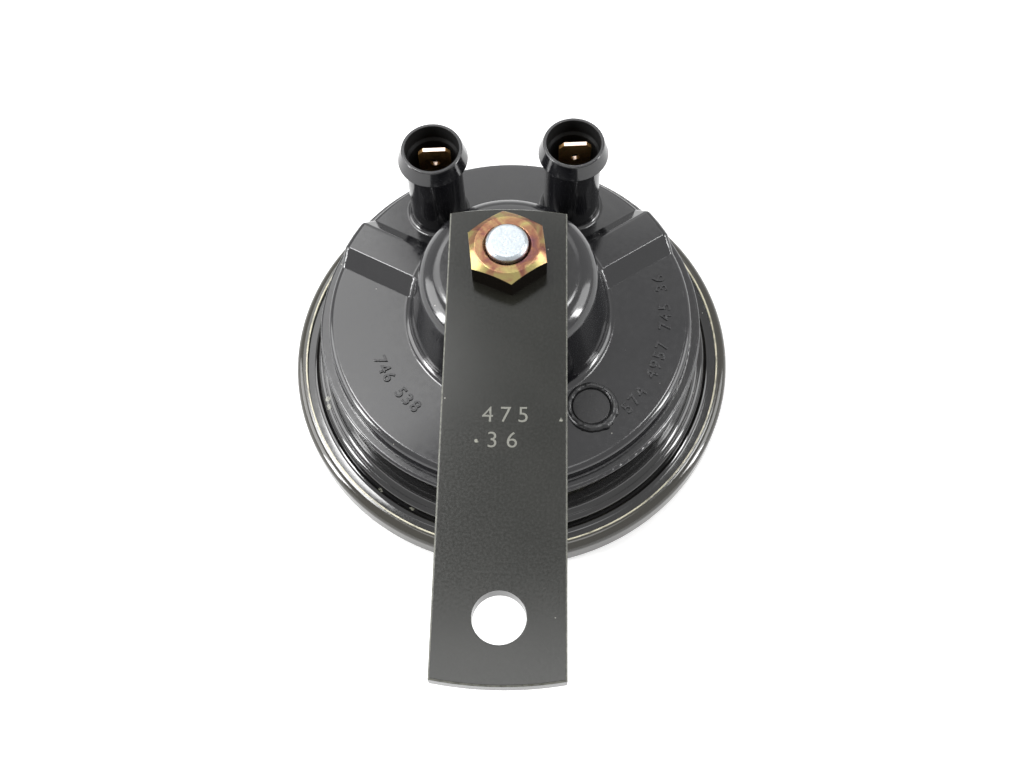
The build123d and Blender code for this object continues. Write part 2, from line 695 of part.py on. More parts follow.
def make_rivets(places, shank_r, head_r, head, low_z, high_z):
    """A group of like rivets, each with a head outside each level."""
    rivets = []
    for place in places:
        rivet = ring(0, shank_r, low_z, high_z)
        rivet += ring(0, head_r, low_z - head, low_z)
        rivet += ring(0, head_r, high_z, high_z + head)
        rivets.append(place * rivet)
    return Compound(children=rivets)


def make_adjusting_screw():
    """Screw with a low crowned head, down to the fixed arm."""
    under_head_z = SCREW_HEAD_TOP_Z - SCREW_HEAD_HEIGHT
    screw = turned(
        (0, FIXED_ARM_TOP_Z, 0),
        (SCREW_R, FIXED_ARM_TOP_Z, SCREW_POINT_FILLET),
        (SCREW_R, under_head_z, 0),
        (SCREW_HEAD_R, under_head_z, 0),
        (SCREW_HEAD_R, SCREW_HEAD_TOP_Z, SCREW_HEAD_CROWN),
        (0, SCREW_HEAD_TOP_Z, 0),
    )
    return BREAKER * Pos(SCREW_U, 0, 0) * screw


def make_adjuster_nut():
    """Hex nut fixed on the shell's flat for the adjusting screw."""
    hexagon = RegularPolygon(hex_corner_r(ADJUSTER_NUT_FLATS), HEX_SIDES)
    nut = extrude(hexagon, amount=ADJUSTER_NUT_HEIGHT)
    nut -= ring(0, SCREW_R + THREAD_GAP, 0, ADJUSTER_NUT_HEIGHT)
    return BREAKER * Pos(SCREW_U, 0, SHELL_TOP_Z) * nut


def make_sealant():
    """Ring of sealant round the screw's head, on the cover's face."""
    section = turned(
        (SCREW_HEAD_R + HOLE_GAP, FACE_Z, 0),
        (SEALANT_R, FACE_Z, 0),
        (SEALANT_R - SEALANT_HEIGHT / 2, FACE_Z + SEALANT_HEIGHT, SEALANT_FILLET),
        (SCREW_HEAD_R + HOLE_GAP, FACE_Z + SEALANT_HEIGHT, 0),
    )
    return BREAKER * Pos(SCREW_U, 0, 0) * section


def make_terminal(side):
    """Blade terminal: an L of brass strip with a chamfered tip, a hole and a riveted foot."""
    blade_y = BLADE_OFFSET + BLADE_SHEET / 2
    path = FilletPolyline(
        (blade_y - BLADE_FOOT, PLATE_TOP_Z),
        (blade_y, PLATE_TOP_Z),
        (blade_y, BLADE_TIP_Z),
        radius=BLADE_BEND,
    )
    section = Plane.YZ * make_face(offset(path, amount=BLADE_SHEET, side=Side.LEFT))
    strip = extrude(section, amount=BLADE_WIDTH / 2, both=True)
    tip_edges = strip.edges().filter_by(Axis.Y).group_by(Axis.Z)[-1]
    strip = chamfer(tip_edges, BLADE_TIP_CHAMFER)
    hole = Rot(90, 0, 0) * Cylinder(BLADE_HOLE_R, 4 * BLADE_SHEET)
    strip -= Pos(0, BLADE_OFFSET, BLADE_TIP_Z - BLADE_HOLE_DEPTH) * hole
    rivet_hole = ring(0, TERMINAL_RIVET_R + HOLE_GAP, PLATE_TOP_Z, FOOT_TOP_Z)
    strip = Pos(BLADE_SHIFT, 0, 0) * strip - Pos(0, TERMINAL_RIVET_Y - SOCKET_Y, 0) * rivet_hole
    return Pos(side * SOCKET_X, SOCKET_Y, 0) * strip


def make_terminal_insulator():
    """Insulating plate under both terminals: a sector of a ring."""
    inner, outer = PLATE_SPAN
    start = 90 - PLATE_HALF_ANGLE
    sector = [
        CenterArc((0, 0), outer, start, 2 * PLATE_HALF_ANGLE),
        CenterArc((0, 0), inner, start, 2 * PLATE_HALF_ANGLE),
    ]
    for angle in (start, start + 2 * PLATE_HALF_ANGLE):
        sector.append(Line(polar(inner, angle, 0), polar(outer, angle, 0)))
    plate = extrude(Pos(0, 0, SHELL_TOP_Z) * make_face(sector), amount=PLATE_THICKNESS)
    for side in (-1, 1):
        place = Pos(side * SOCKET_X, TERMINAL_RIVET_Y, 0)
        plate -= place * ring(0, TERMINAL_RIVET_R + HOLE_GAP, SHELL_TOP_Z, PLATE_TOP_Z)
    return plate


def make_terminal_bushes():
    """Flanged insulating bushes that keep the terminals' rivets off the shell."""
    bushes = []
    bore_r = TERMINAL_RIVET_R + HOLE_GAP
    for side in (-1, 1):
        bush = ring(bore_r, BUSH_R, SHELL_FLAT_Z, SHELL_TOP_Z)
        bush += ring(bore_r, BUSH_FLANGE_R, SHELL_FLAT_Z - BUSH_FLANGE, SHELL_FLAT_Z)
        bushes.append(Pos(side * SOCKET_X, TERMINAL_RIVET_Y, 0) * bush)
    return Compound(children=bushes)


def make_resistor():
    """Wire-wound resistor across the points, between the two arms' lugs."""
    inner, outer = RESISTOR_SPAN
    lug_v = STACK_WIDTH / 2 + ARM_LUG_WIDTH / 2
    body = Rot(0, 90, 0) * Cylinder(RESISTOR_R, outer - inner)
    body = BREAKER * Pos((inner + outer) / 2, RESISTOR_V, RESISTOR_Z) * body
    moving_lug_u = sum(MOVING_LUG_SPAN) / 2
    fixed_lug_u = FIXED_LUG_SPAN[1] - ARM_LUG_WIDTH / 2
    moving_end_z = MOVING_ARM_Z + MOVING_ARM + WIRE_R
    fixed_end_z = FIXED_ARM_TOP_Z + WIRE_R
    outer_lead = (
        from_breaker(outer, RESISTOR_V, RESISTOR_Z),
        from_breaker(moving_lug_u, RESISTOR_V, RESISTOR_Z),
        from_breaker(moving_lug_u, lug_v, moving_end_z),
    )
    inner_lead = (
        from_breaker(inner, RESISTOR_V, RESISTOR_Z),
        from_breaker(fixed_lug_u, RESISTOR_V, RESISTOR_Z),
        from_breaker(fixed_lug_u, lug_v, fixed_end_z),
    )
    return body + wire(outer_lead, WIRE_R, WIRE_BEND) + wire(inner_lead, WIRE_R, WIRE_BEND)


def make_coil_lead_terminal():
    """Coil wire out through the yoke's notch and onto the left terminal's foot."""
    level = FOOT_TOP_Z + WIRE_R
    foot_radius = TERMINAL_RIVET_Y
    return wire(
        (polar(WINDING_R, COIL_LEAD_ANGLE, level), polar(foot_radius, COIL_LEAD_ANGLE, level)),
        WIRE_R,
        WIRE_BEND,
    )


def make_coil_lead_breaker():
    """Coil wire out through the other notch, down through the shell and onto the moving arm."""
    level = FOOT_TOP_Z + WIRE_R
    arm_level = MOVING_ARM_Z + MOVING_ARM + WIRE_R
    lug_v = STACK_WIDTH / 2 + ARM_LUG_WIDTH / 2
    points = (
        polar(WINDING_R, BREAKER_LEAD_ANGLE, level),
        polar(WIRE_HOLE_RADIUS, BREAKER_LEAD_ANGLE, level),
        polar(WIRE_HOLE_RADIUS, BREAKER_LEAD_ANGLE, arm_level),
        from_breaker(sum(MOVING_LUG_SPAN) / 2, -lug_v, arm_level),
    )
    return wire(points, WIRE_R, WIRE_BEND)


def make_breaker_lead():
    """Insulated wire from the fixed arm's lug to the right terminal's rivet."""
    lug_v = STACK_WIDTH / 2 + ARM_LUG_WIDTH / 2
    arm_level = FIXED_ARM_TOP_Z + LEAD_WIRE_R
    rivet_low_z = SHELL_FLAT_Z - BUSH_FLANGE - TERMINAL_RIVET_HEAD
    end_z = rivet_low_z - LEAD_WIRE_R
    clear_x = SOCKET_X + 2 * BUSH_FLANGE_R
    points = (
        from_breaker(FIXED_LUG_SPAN[0] + LEAD_WIRE_R, lug_v, arm_level),
        (clear_x, -SPACER_R, arm_level),
        (clear_x, SPACER_R, end_z),
        (SOCKET_X, TERMINAL_RIVET_Y, end_z),
    )
    return wire(points, LEAD_WIRE_R, 2 * LEAD_WIRE_R)


def horn_nodes():
    """Every piece of the horn itself, in the horn's frame."""
    stack_rivet_places = [BREAKER * Pos(STACK_RIVET_U, s * STACK_RIVET_V, 0) for s in (-1, 1)]
    terminal_places = [Pos(s * SOCKET_X, TERMINAL_RIVET_Y, 0) for s in (-1, 1)]
    moving_top_z = MOVING_ARM_Z + MOVING_ARM
    contact_face_z = (FIXED_ARM_TOP_Z + MOVING_ARM_Z) / 2
    clamp_z = CLAMP_PLATE_TOP_Z - CLAMP_PLATE
    at_contact = BREAKER * Pos(CONTACT_U, 0, 0)
    at_button = BREAKER * Pos(TRIP_BUTTON_U, 0, 0)
    return {
        "rear_cover": make_rear_cover(),
        "cover_seal": ring(*SEAL_SPAN, SHELL_TOP_Z, SHELL_TOP_Z + SEAL_HEIGHT),
        "body_shell": make_body_shell(),
        "front_ring": make_front_ring(),
        "rear_gasket": ring(GASKET_INNER_R, CLAMP_R, DIAPHRAGM_Z, DIAPHRAGM_Z + GASKET),
        "diaphragm": make_diaphragm(),
        "front_gasket": ring(
            RING_MOUTH_R,
            RING_RETURN_R - RING_FLANGE_FILLET,
            DIAPHRAGM_FRONT_Z - GASKET,
            DIAPHRAGM_FRONT_Z,
        ),
        "armature": make_armature(),
        "inner_washer": spigot_washer(INNER_WASHER_R, DIAPHRAGM_Z, INNER_WASHER_Z),
        "tone_disc_spacer": spigot_washer(SPACER_R, TONE_DISC_Z, DIAPHRAGM_FRONT_Z),
        "tone_disc": make_tone_disc(),
        "centre_washer": spigot_washer(COLLAR_WASHER_R, PEENED_Z, COLLAR_WASHER_Z),
        "core_stud": make_core_stud(),
        "yoke_cup": make_yoke_cup(),
        "coil_bobbin": make_bobbin(),
        "coil_winding": make_winding(),
        "insulator_upper": BREAKER * stack_block(moving_top_z, SHELL_FLAT_Z),
        "moving_contact_arm": make_moving_arm(),
        "insulator_middle": BREAKER * stack_block(FIXED_ARM_TOP_Z, MOVING_ARM_Z),
        "fixed_contact_arm": make_fixed_arm(),
        "insulator_lower": BREAKER * stack_block(CLAMP_PLATE_TOP_Z, FIXED_ARM_Z),
        "breaker_clamp_plate": BREAKER * stack_block(clamp_z, CLAMP_PLATE_TOP_Z),
        "breaker_rivets": make_rivets(
            stack_rivet_places,
            STACK_RIVET_R,
            STACK_RIVET_HEAD_R,
            STACK_RIVET_HEAD,
            clamp_z,
            SHELL_TOP_Z,
        ),
        "moving_contact": at_contact
        * riveted_button(CONTACT_R, contact_face_z, MOVING_ARM_Z, moving_top_z),
        "fixed_contact": at_contact
        * riveted_button(CONTACT_R, contact_face_z, FIXED_ARM_Z, FIXED_ARM_TOP_Z),
        "trip_button": at_button
        * riveted_button(TRIP_BUTTON_R, TRIP_COLLAR_TOP_Z + TRIP_GAP, MOVING_ARM_Z, moving_top_z),
        "adjusting_screw": make_adjusting_screw(),
        "adjuster_nut": make_adjuster_nut(),
        "adjuster_sealant": make_sealant(),
        "arc_resistor": make_resistor(),
        "terminal_left": make_terminal(-1),
        "terminal_right": make_terminal(1),
        "terminal_insulator": make_terminal_insulator(),
        "terminal_bushes": make_terminal_bushes(),
        "terminal_rivets": make_rivets(
            terminal_places,
            TERMINAL_RIVET_R,
            TERMINAL_RIVET_HEAD_R,
            TERMINAL_RIVET_HEAD,
            SHELL_FLAT_Z - BUSH_FLANGE,
            FOOT_TOP_Z,
        ),
        "coil_lead_terminal": make_coil_lead_terminal(),
        "coil_lead_breaker": make_coil_lead_breaker(),
        "breaker_lead": make_breaker_lead(),
    }


def main():
    """Places every node in the part's frame and writes one STEP file for each."""
    nodes = {name: HORN * shape for name, shape in horn_nodes().items()}
    nodes["mounting_bracket"] = make_bracket()
    nodes["mounting_nut"] = NUT_PLACE * make_nut()
    os.makedirs("parts", exist_ok=True)
    for name, shape in nodes.items():
        export_step(shape, f"parts/{name}.step")
        print(name, round(shape.volume, 2))


main()
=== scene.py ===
from math import atan2, cos, pi, radians, sin, tan

import bmesh
import bpy
from mathutils import Matrix, Vector, noise


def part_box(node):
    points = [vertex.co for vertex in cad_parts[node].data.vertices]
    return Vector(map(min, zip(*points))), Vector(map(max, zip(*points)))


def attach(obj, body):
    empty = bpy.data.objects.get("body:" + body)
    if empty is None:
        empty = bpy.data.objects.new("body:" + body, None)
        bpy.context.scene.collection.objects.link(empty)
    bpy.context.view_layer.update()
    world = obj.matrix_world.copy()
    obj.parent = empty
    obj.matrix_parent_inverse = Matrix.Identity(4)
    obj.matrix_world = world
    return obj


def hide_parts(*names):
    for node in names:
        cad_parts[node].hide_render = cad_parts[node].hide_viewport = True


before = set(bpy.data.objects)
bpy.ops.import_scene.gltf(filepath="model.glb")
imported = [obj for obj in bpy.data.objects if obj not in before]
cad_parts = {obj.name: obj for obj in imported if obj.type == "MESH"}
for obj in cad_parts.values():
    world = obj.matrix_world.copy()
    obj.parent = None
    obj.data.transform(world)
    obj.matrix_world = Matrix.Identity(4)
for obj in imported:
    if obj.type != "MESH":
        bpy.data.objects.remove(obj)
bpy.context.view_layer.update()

bl_info = {
    "name": "Disc horn",
    "version": (1, 0, 0),
    "blender": (4, 5, 0),
    "location": "3D View > Sidebar > Horn",
    "description": "Dresses a disc horn on a strap bracket with its finishes, and lights it",
    "category": "Object",
}

MM = 0.001
HOUSING = "housing"


def middle(name):
    """Centre of a CAD piece's box."""
    low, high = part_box(name)
    return (Vector(low) + Vector(high)) / 2


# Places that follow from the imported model, in metres
HORN_AXIS = Vector((middle("core_stud").x, middle("core_stud").y, 0))
SEAM_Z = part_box("front_ring")[1][2]
FLOOR_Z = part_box("front_ring")[0][2]
FACE_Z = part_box("adjuster_sealant")[0][2]
ACROSS_SOCKETS = middle("terminal_right") - middle("terminal_left")
BODY_TURN = atan2(ACROSS_SOCKETS.y, ACROSS_SOCKETS.x)
HORN = Matrix.Translation((HORN_AXIS.x, HORN_AXIS.y, SEAM_Z)) @ Matrix.Rotation(BODY_TURN, 4, "Z")

# Sizes of the object from here on are in millimetres. Headings are in degrees round its axis,
# from the line across the sockets

# Outer faces of the shell and the ring: radius, height over the seam, fillet
SHELL_PROFILE = (
    (38.1, 10.9, 0),
    (38.6, 2.4, 1.35),
    (40.6, 2.4, 1.2),
    (41.4, -0.8, 1.15),
    (43.4, -0.8, 0),
)
RING_PROFILE = ((43.6, 0, 0), (45.9, 0, 1.7), (45.9, -5.1, 0))
LATHE_STEPS = 360
FILLET_STEPS = 12

# Axes of the two sockets, and a radius round them that takes in their bores
SOCKET_HEADINGS = (90 + 28.9, 90 - 28.9)
SOCKET_RADIUS = 28.6
SOCKET_BORE_R = 5.4

# The painted highlight along the ring's lip: width of its full shine, width at which it ends, and
# depth
LIP_SHINE, LIP_END, LIP_DEPTH = 0.2, 0.36, 0.5
# Runs and grit in the body's paint: radius, heading, height over the seam; and their own radius
PAINT_FAULTS = ((40.4, -162, 2.3), (40, -164.5, 2.4), (41.1, -132, 0.2), (41, -121, 0.8))
PAINT_FAULT_R = 1.3
# Nicks in the strap's coating, from the horn's axis, and their own radius
STRAP_NICKS = ((-4.6, -36.8, 0), (9.9, -32.6, 0))
STRAP_NICK_R = 0.8
# Radii of the nut's face, from the edge of its bore to near its corners
NUT_FACE = (4.6, 7.4)

# Sealant bead: points round it and across it, how far it goes under the screw's head and into the
# cover, and how often it swells and crumbles on its way round
BEAD_STEPS, BEAD_ARCS = 84, 9
BEAD_TUCK, BEAD_SINK = 0.1, 0.15
BEAD_SWELL, BEAD_CRUMB = 2.4, 7

# Digits on the cover: piece, digits, radius, first and last heading
COVER_DIGITS = (
    ("cover_digits_left", "746 538", 27.8, -159.5, -133.5),
    ("cover_digits_right", "574 4957 745 36", 31.3, -45.5, 11.5),
)
# Digits on the strap, each with its place from the mounting hole
STRAP_DIGITS = (
    ("4", -2.8, 35.8),
    ("7", 0.3, 35.8),
    ("5", 3.4, 35.8),
    ("3", -1.9, 31.0),
    ("6", 1.5, 31.0),
)
# Shares of a letter's size that its digits are high, and of a digit's height that its stroke is
# thinned; and share of the relief that is the softened edge
DIGIT_SHARE, STROKE_TRIM, SOFT_SHARE = 0.73, 0.012, 0.35

# Blender's wave texture repeats every 2 pi / 20 of its scaled coordinate
WAVE_PERIOD = 2 * pi / 20
# How far a pattern of lines is drawn out along them
LINE_STRETCH = 0.04
# Radius of a speck of dust as a share of the dust's spacing, and share of the places that have one
DUST_DOT, DUST_SHARE = 0.07, 0.28
# The shader's own level of specular reflection
PLAIN_SHINE = 0.5
BEVEL_SAMPLES = 6

# Soft boxes: name, heading from +Y towards +X and height over the horizon in degrees, width and
# height in metres, and radiance, where 1 is white
SOFT_BOXES = (
    ("key_box", -36, 58, 0.36, 0.36, 2.7),
    ("key_spot", -46, 67, 0.15, 0.15, 18.0),
    ("left_box", -82, 31, 0.50, 0.60, 4.8),
    ("left_strip", -104, 24, 0.16, 0.46, 23.0),
    ("back_box", -4, 39, 0.62, 0.58, 1.15),
    ("right_spot", 42, 66, 0.12, 0.12, 14.0),
    ("right_box", 80, 31, 0.36, 0.50, 4.0),
    ("right_strip", 98, 24, 0.12, 0.42, 22.0),
    ("top_box", 0, 88, 0.40, 0.24, 2.9),
)
# Distance of the soft boxes and half the width of the floor, in metres
LAMP_REACH = 0.9
FLOOR_REACH = 3.0
# In millimetres, as Blender's camera takes it
SENSOR_WIDTH = 36.0


def rgb(code):
    """Linear colour of an sRGB hex code."""
    parts = [int(code[i : i + 2], 16) / 255 for i in (1, 3, 5)]
    return tuple(p / 12.92 if p <= 0.04045 else ((p + 0.055) / 1.055) ** 2.4 for p in parts)


def colour(code, label, use):
    """A colour setting of an add-on group."""
    return bpy.props.FloatVectorProperty(
        name=label, description=use, subtype="COLOR", size=3, min=0, max=1, default=rgb(code)
    )


def length(value, label, use):
    """A length setting of an add-on group, given in millimetres."""
    return bpy.props.FloatProperty(
        name=label,
        description=use,
        subtype="DISTANCE",
        unit="LENGTH",
        default=value * MM,
        precision=5,
    )


def amount(value, label, use, top=1.0):
    """A plain number setting of an add-on group."""
    return bpy.props.FloatProperty(
        name=label, description=use, subtype="FACTOR", default=value, min=0, max=top
    )


class HornColours(bpy.types.PropertyGroup):
    """Colours of the horn's finishes."""

    cover: colour("#17171a", "Cover", "Gloss black of the moulded rear cover")
    enamel: colour("#0d0d0e", "Body enamel", "Gloss black paint on the pressed body")
    ring: colour("#2a271d", "Ring paint", "Dark paint on the rolled front ring")
    # The ring lip colour is a painted highlight: a cream line that stands in for the shine along
    # the lip
    lip: colour("#dcd6ba", "Ring lip", "Cream shine of the ring's rubbed lip")
    strap: colour("#171813", "Strap coating", "Coating on the bracket")
    worn: colour("#85857a", "Worn coating", "Thin coating on the bracket's edges and nicks")
    digit: colour("#7a7a72", "Strap digits", "Coating rubbed thin on the raised digits")
    dust: colour("#a09e97", "Dust", "Specks of dust on the black parts")
    zinc_gold: colour("#9b7a5b", "Gold zinc", "Main tone of the nut's passivated zinc")
    zinc_rose: colour("#875c4b", "Rose zinc", "Warm tone of the nut's passivated zinc")
    zinc_green: colour("#a09361", "Green zinc", "Cool tone of the nut's passivated zinc")
    zinc_violet: colour("#6b484e", "Violet zinc", "Dark tone of the nut's passivated zinc")
    # Painted reflection: the dark brown of the nut's upright flats stands for the dark strap they
    # mirror
    flats_painted_reflection: colour("#453b30", "Flats' zinc", "Thick brown film on the nut's flats")
    stud: colour("#cdd2d8", "Stud zinc", "Blue-white zinc on the stud")
    stud_shade: colour("#7f898d", "Stud shade", "Darker crystals of the stud's zinc")
    brass: colour("#cfa36a", "Brass", "Blade terminals")
    brass_stain: colour("#8a6430", "Brass stain", "Tarnish on the blade terminals")
    # Painted highlight: the near white put on the blades' faces that look up
    sheared: colour("#f3dccb", "Tinned edge", "Tin on the ends of the blades")
    steel: colour("#b3b3b1", "Steel", "Plain turned and pressed steel")
    steel_stain: colour("#7d7a74", "Steel stain", "Oil film on the plain steel")
    spring: colour("#a9abb0", "Spring steel", "Rolled steel of the diaphragm")
    bronze: colour("#c08a52", "Bronze", "Rolled bronze of the breaker's arms")
    tungsten: colour("#a5a6ab", "Tungsten", "Contact faces")
    screw: colour("#242425", "Blackened steel", "Adjusting screw")
    copper: colour("#b5622f", "Copper", "Enamelled winding wire")
    nylon: colour("#d9d2bb", "Nylon", "Bobbin and bushes")
    phenolic: colour("#6a3a22", "Phenolic", "Laminate of the insulating plates")
    phenolic_dark: colour("#3c1f13", "Phenolic layers", "Darker layers of the laminate")
    gasket: colour("#6f6656", "Gasket", "Fibre board of the rim's gaskets")
    rubber: colour("#1c1c1c", "Rubber", "Seal in the cover")
    sealant: colour("#202022", "Sealant", "Cured bead round the adjusting screw")
    resistor: colour("#3f6b56", "Resistor", "Vitreous enamel of the resistor")
    lead: colour("#171719", "Lead", "Insulation of the inner lead")


class HornGrain(bpy.types.PropertyGroup):
    """Grain sizes of the finishes, and the sizes of the marks and the sealant bead."""

    edge: length(0.25, "Eased edges", "Radius by which paint and plating round off sharp edges")
    film: length(0.05, "Paint film", "Thickness of the paint on the body and the ring")
    sag: length(11.0, "Sag", "Length of the slow waves in gloss skins")
    cover_peel: length(0.9, "Moulding texture", "Grain of the moulded cover's skin")
    paint_peel: length(1.3, "Orange peel", "Grain of sprayed paint")
    # A real coating's grain is near 0.1 mm, too fine to show, so it is drawn coarser
    coat_grain: length(0.45, "Coating grain", "Grain of the bracket's coating")
    dust_gap: length(2.6, "Dust spacing", "Mean distance between specks of dust")
    # A lathe's real feed is near 0.1 mm, and rolling lines are finer still: both are drawn coarser
    turning: length(0.35, "Turning marks", "Feed of the lathe on turned steel")
    brushing: length(0.3, "Rolling lines", "Spacing of the lines on rolled sheet")
    # Real zinc crystals are under 0.1 mm and are drawn as coarse as they need to show
    crystal: length(0.5, "Zinc crystals", "Grain of the stud's zinc")
    iris: length(3.2, "Iridescence", "Size of the nut's colour patches")
    # The laminate's papers are near 0.1 mm thick and are drawn coarser
    layer: length(0.25, "Laminate layer", "Thickness of one layer of the laminate")
    wire: length(0.5, "Winding wire", "Pitch of the coil's turns")
    cover_digit: length(2.5, "Cover digits", "Height of the digits on the cover")
    cover_proud: length(0.24, "Cover digit relief", "How far the cover's digits stand proud")
    strap_digit: length(3.1, "Strap digits", "Height of the digits on the strap")
    strap_proud: length(0.05, "Strap digit relief", "How far the strap's digits stand proud")
    bead_lump: length(0.4, "Bead lumps", "Unevenness of the sealant bead")


class HornStage(bpy.types.PropertyGroup):
    """Camera, light and floor of the stage."""

    paper: colour("#e7e7e7", "Paper", "White paper of the floor")
    surround: colour("#ffffff", "Surround colour", "Colour of the surround")
    lens: length(42.27, "Lens", "Focal length on a 36 mm wide sensor")
    lamps: amount(1.0, "Lamps", "Brightness of all soft boxes together", 10)
    sky: amount(0.1, "Surround light", "Strength of the surround that lights the object", 10)
    floor_lift: amount(0.55, "Floor lift", "Extra white of the floor as the camera sees it")
    camera_place: bpy.props.FloatVectorProperty(
        name="Camera place",
        description="Camera's place in the part's frame",
        subtype="TRANSLATION",
        unit="LENGTH",
        default=(6.21 * MM, -49.84 * MM, 191.53 * MM),
    )
    camera_turn: bpy.props.FloatVectorProperty(
        name="Camera turn",
        description="Heading, tilt from straight down, and roll of the camera",
        subtype="EULER",
        default=(radians(3.06), radians(25.57), radians(-2.17)),
    )


def settings(context):
    """The colours and the grain sizes that the finishes are made from."""
    return context.scene.horn_colours, context.scene.horn_grain


def node(tree, kind, links=None, **options):
    """Adds a node with its options and links.

    links holds inputs by name or number, each with a value, an output socket, or a node, which
    stands for its first output in use.
    """
    made = tree.nodes.new(kind)
    for key, value in options.items():
        setattr(made, key, value)
    used = [socket for socket in made.inputs if socket.enabled]
    for key, value in (links or {}).items():
        entry = used[key] if isinstance(key, int) else next(s for s in used if s.name == key)
        if isinstance(value, bpy.types.Node):
            value = next(socket for socket in value.outputs if socket.enabled)
        if isinstance(value, bpy.types.NodeSocket):
            tree.links.new(value, entry)
        elif entry.type == "RGBA":
            entry.default_value = (*value[:3], 1)
        else:
            entry.default_value = value
    return made


def blank(name):
    """A new material and its empty tree."""
    material = bpy.data.materials.new(name)
    material.use_nodes = True
    material.node_tree.nodes.clear()
    return material, material.node_tree


def places(tree):
    """Places in millimetres from the horn's axis."""
    spot = node(tree, "ShaderNodeTexCoord").outputs["Object"]
    shift = {"Vector": spot, "Location": tuple(-v / MM for v in HORN_AXIS), "Scale": (1 / MM,) * 3}
    return node(tree, "ShaderNodeMapping", shift)


def surface(tree, inputs, heights, edge=0.0):
    """Ends a material with its shader, over stacked bumps and edges eased by a radius.

    heights holds pairs of a height and its depth.
    """
    normal = node(tree, "ShaderNodeBevel", {"Radius": edge}, samples=BEVEL_SAMPLES)
    for height, depth in heights:
        bump = {"Height": height, "Distance": depth, "Strength": 1.0, "Normal": normal}
        normal = node(tree, "ShaderNodeBump", bump)
    shader = node(tree, "ShaderNodeBsdfPrincipled", {**inputs, "Normal": normal})
    node(tree, "ShaderNodeOutputMaterial", {"Surface": shader})


def dress(names, material):
    """Gives CAD pieces their material."""
    for name in names:
        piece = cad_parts[name]
        piece.data.materials.clear()
        piece.data.materials.append(material)


def either(tree, masks):
    """A mask that is on where any of several is."""
    total, *others = masks
    for mask in others:
        total = node(tree, "ShaderNodeMath", {0: mask, 1: total}, operation="MAXIMUM")
    return total


def axis_distance(tree, place, axis=(0, 0, 0)):
    """Distance from an upright axis."""
    away = node(tree, "ShaderNodeVectorMath", {0: place, 1: axis}, operation="SUBTRACT")
    level = node(tree, "ShaderNodeVectorMath", {0: away, 1: (1, 1, 0)}, operation="MULTIPLY")
    return node(tree, "ShaderNodeVectorMath", {0: level}, operation="LENGTH")


def facing_up(tree):
    """How far a face looks up: 1 where it is level, 0 where it is upright."""
    normal = node(tree, "ShaderNodeNewGeometry").outputs["Normal"]
    return node(tree, "ShaderNodeSeparateXYZ", {"Vector": normal}).outputs["Z"]


def round_axis(radius, heading, height=0.0):
    """A place round the horn's axis, over its seam, as the materials measure places."""
    turn = radians(heading)
    spot = Vector((radius * cos(turn), radius * sin(turn), height)) * MM
    return tuple((HORN @ spot - HORN_AXIS) / MM)


def faults(tree, place, spots, radius):
    """Broken-up blotches round some places, whose grit is about half a millimetre wide."""
    grit = node(tree, "ShaderNodeTexNoise", {"Vector": place, "Scale": 2.2, "Detail": 4.0})
    near = []
    for spot in spots:
        away = node(tree, "ShaderNodeVectorMath", {0: place, 1: spot}, operation="DISTANCE")
        fade = {"Value": away, "From Min": radius, "From Max": 0.2 * radius}
        near.append(node(tree, "ShaderNodeMapRange", fade))
    broken = node(tree, "ShaderNodeMath", {0: either(tree, near), 1: grit}, operation="MULTIPLY")
    ragged = {"Value": broken, "From Min": 0.34, "From Max": 0.42}
    return node(tree, "ShaderNodeMapRange", ragged)


def gloss_skin(
    name,
    hue,
    *,
    roughness,
    ior,
    peel,
    depth,
    edge=0.0,
    worn=None,
    wear_and_highlight_hue=None,
    worn_dull=0.2,
    worn_shine=None,
):
    """A black skin: slow waves bend its reflections, a fine peel softens them, dust lies on it.

    worn makes the mask of worn places, and on the ring of a painted highlight along its lip, with
    their own hue, added roughness and perhaps shine.
    """
    colours, grain = settings(bpy.context)
    material, tree = blank(name)
    place = places(tree)
    slow = node(
        tree, "ShaderNodeTexNoise", {"Vector": place, "Scale": MM / grain.sag, "Detail": 2.0}
    )
    fine = node(tree, "ShaderNodeTexNoise", {"Vector": place, "Scale": MM / peel, "Detail": 1.0})
    cells = node(tree, "ShaderNodeTexVoronoi", {"Vector": place, "Scale": MM / grain.dust_gap})
    dot = node(tree, "ShaderNodeMapRange", {"Value": cells, "From Min": DUST_DOT, "From Max": 0.03})
    kept = {0: cells.outputs["Color"], 1: 1 - DUST_SHARE}
    chosen = node(tree, "ShaderNodeMath", kept, operation="GREATER_THAN")
    dust = node(tree, "ShaderNodeMath", {0: dot, 1: chosen}, operation="MULTIPLY")
    bloom = {"Value": slow, "From Min": 0.35, "From Max": 0.65, "To Max": 0.012}
    cloud = node(tree, "ShaderNodeMapRange", bloom)
    skin = hue
    for mask in (cloud, dust):
        mixed = {"Factor": mask, "A": skin, "B": colours.dust}
        skin = node(tree, "ShaderNodeMix", mixed, data_type="RGBA")
    softened = {
        "Value": fine,
        "From Min": 0.3,
        "From Max": 0.7,
        "To Min": 0.8 * roughness,
        "To Max": 1.25 * roughness,
    }
    dull = node(tree, "ShaderNodeMapRange", softened)
    heights = [(slow, 2.5 * depth), (fine, depth)]
    inputs = {"IOR": ior}
    if worn:
        mask = worn(tree, place)
        mixed = {"Factor": mask, "A": skin, "B": wear_and_highlight_hue}
        skin = node(tree, "ShaderNodeMix", mixed, data_type="RGBA")
        dull = node(
            tree, "ShaderNodeMath", {0: mask, 1: worn_dull, 2: dull}, operation="MULTIPLY_ADD"
        )
        if worn_shine is not None:
            shine = {"Value": mask, "To Min": PLAIN_SHINE, "To Max": worn_shine}
            inputs["Specular IOR Level"] = node(tree, "ShaderNodeMapRange", shine)
        heights.append((mask, 4 * depth))
    surface(tree, {"Base Color": skin, "Roughness": dull, **inputs}, heights, edge)
    return material


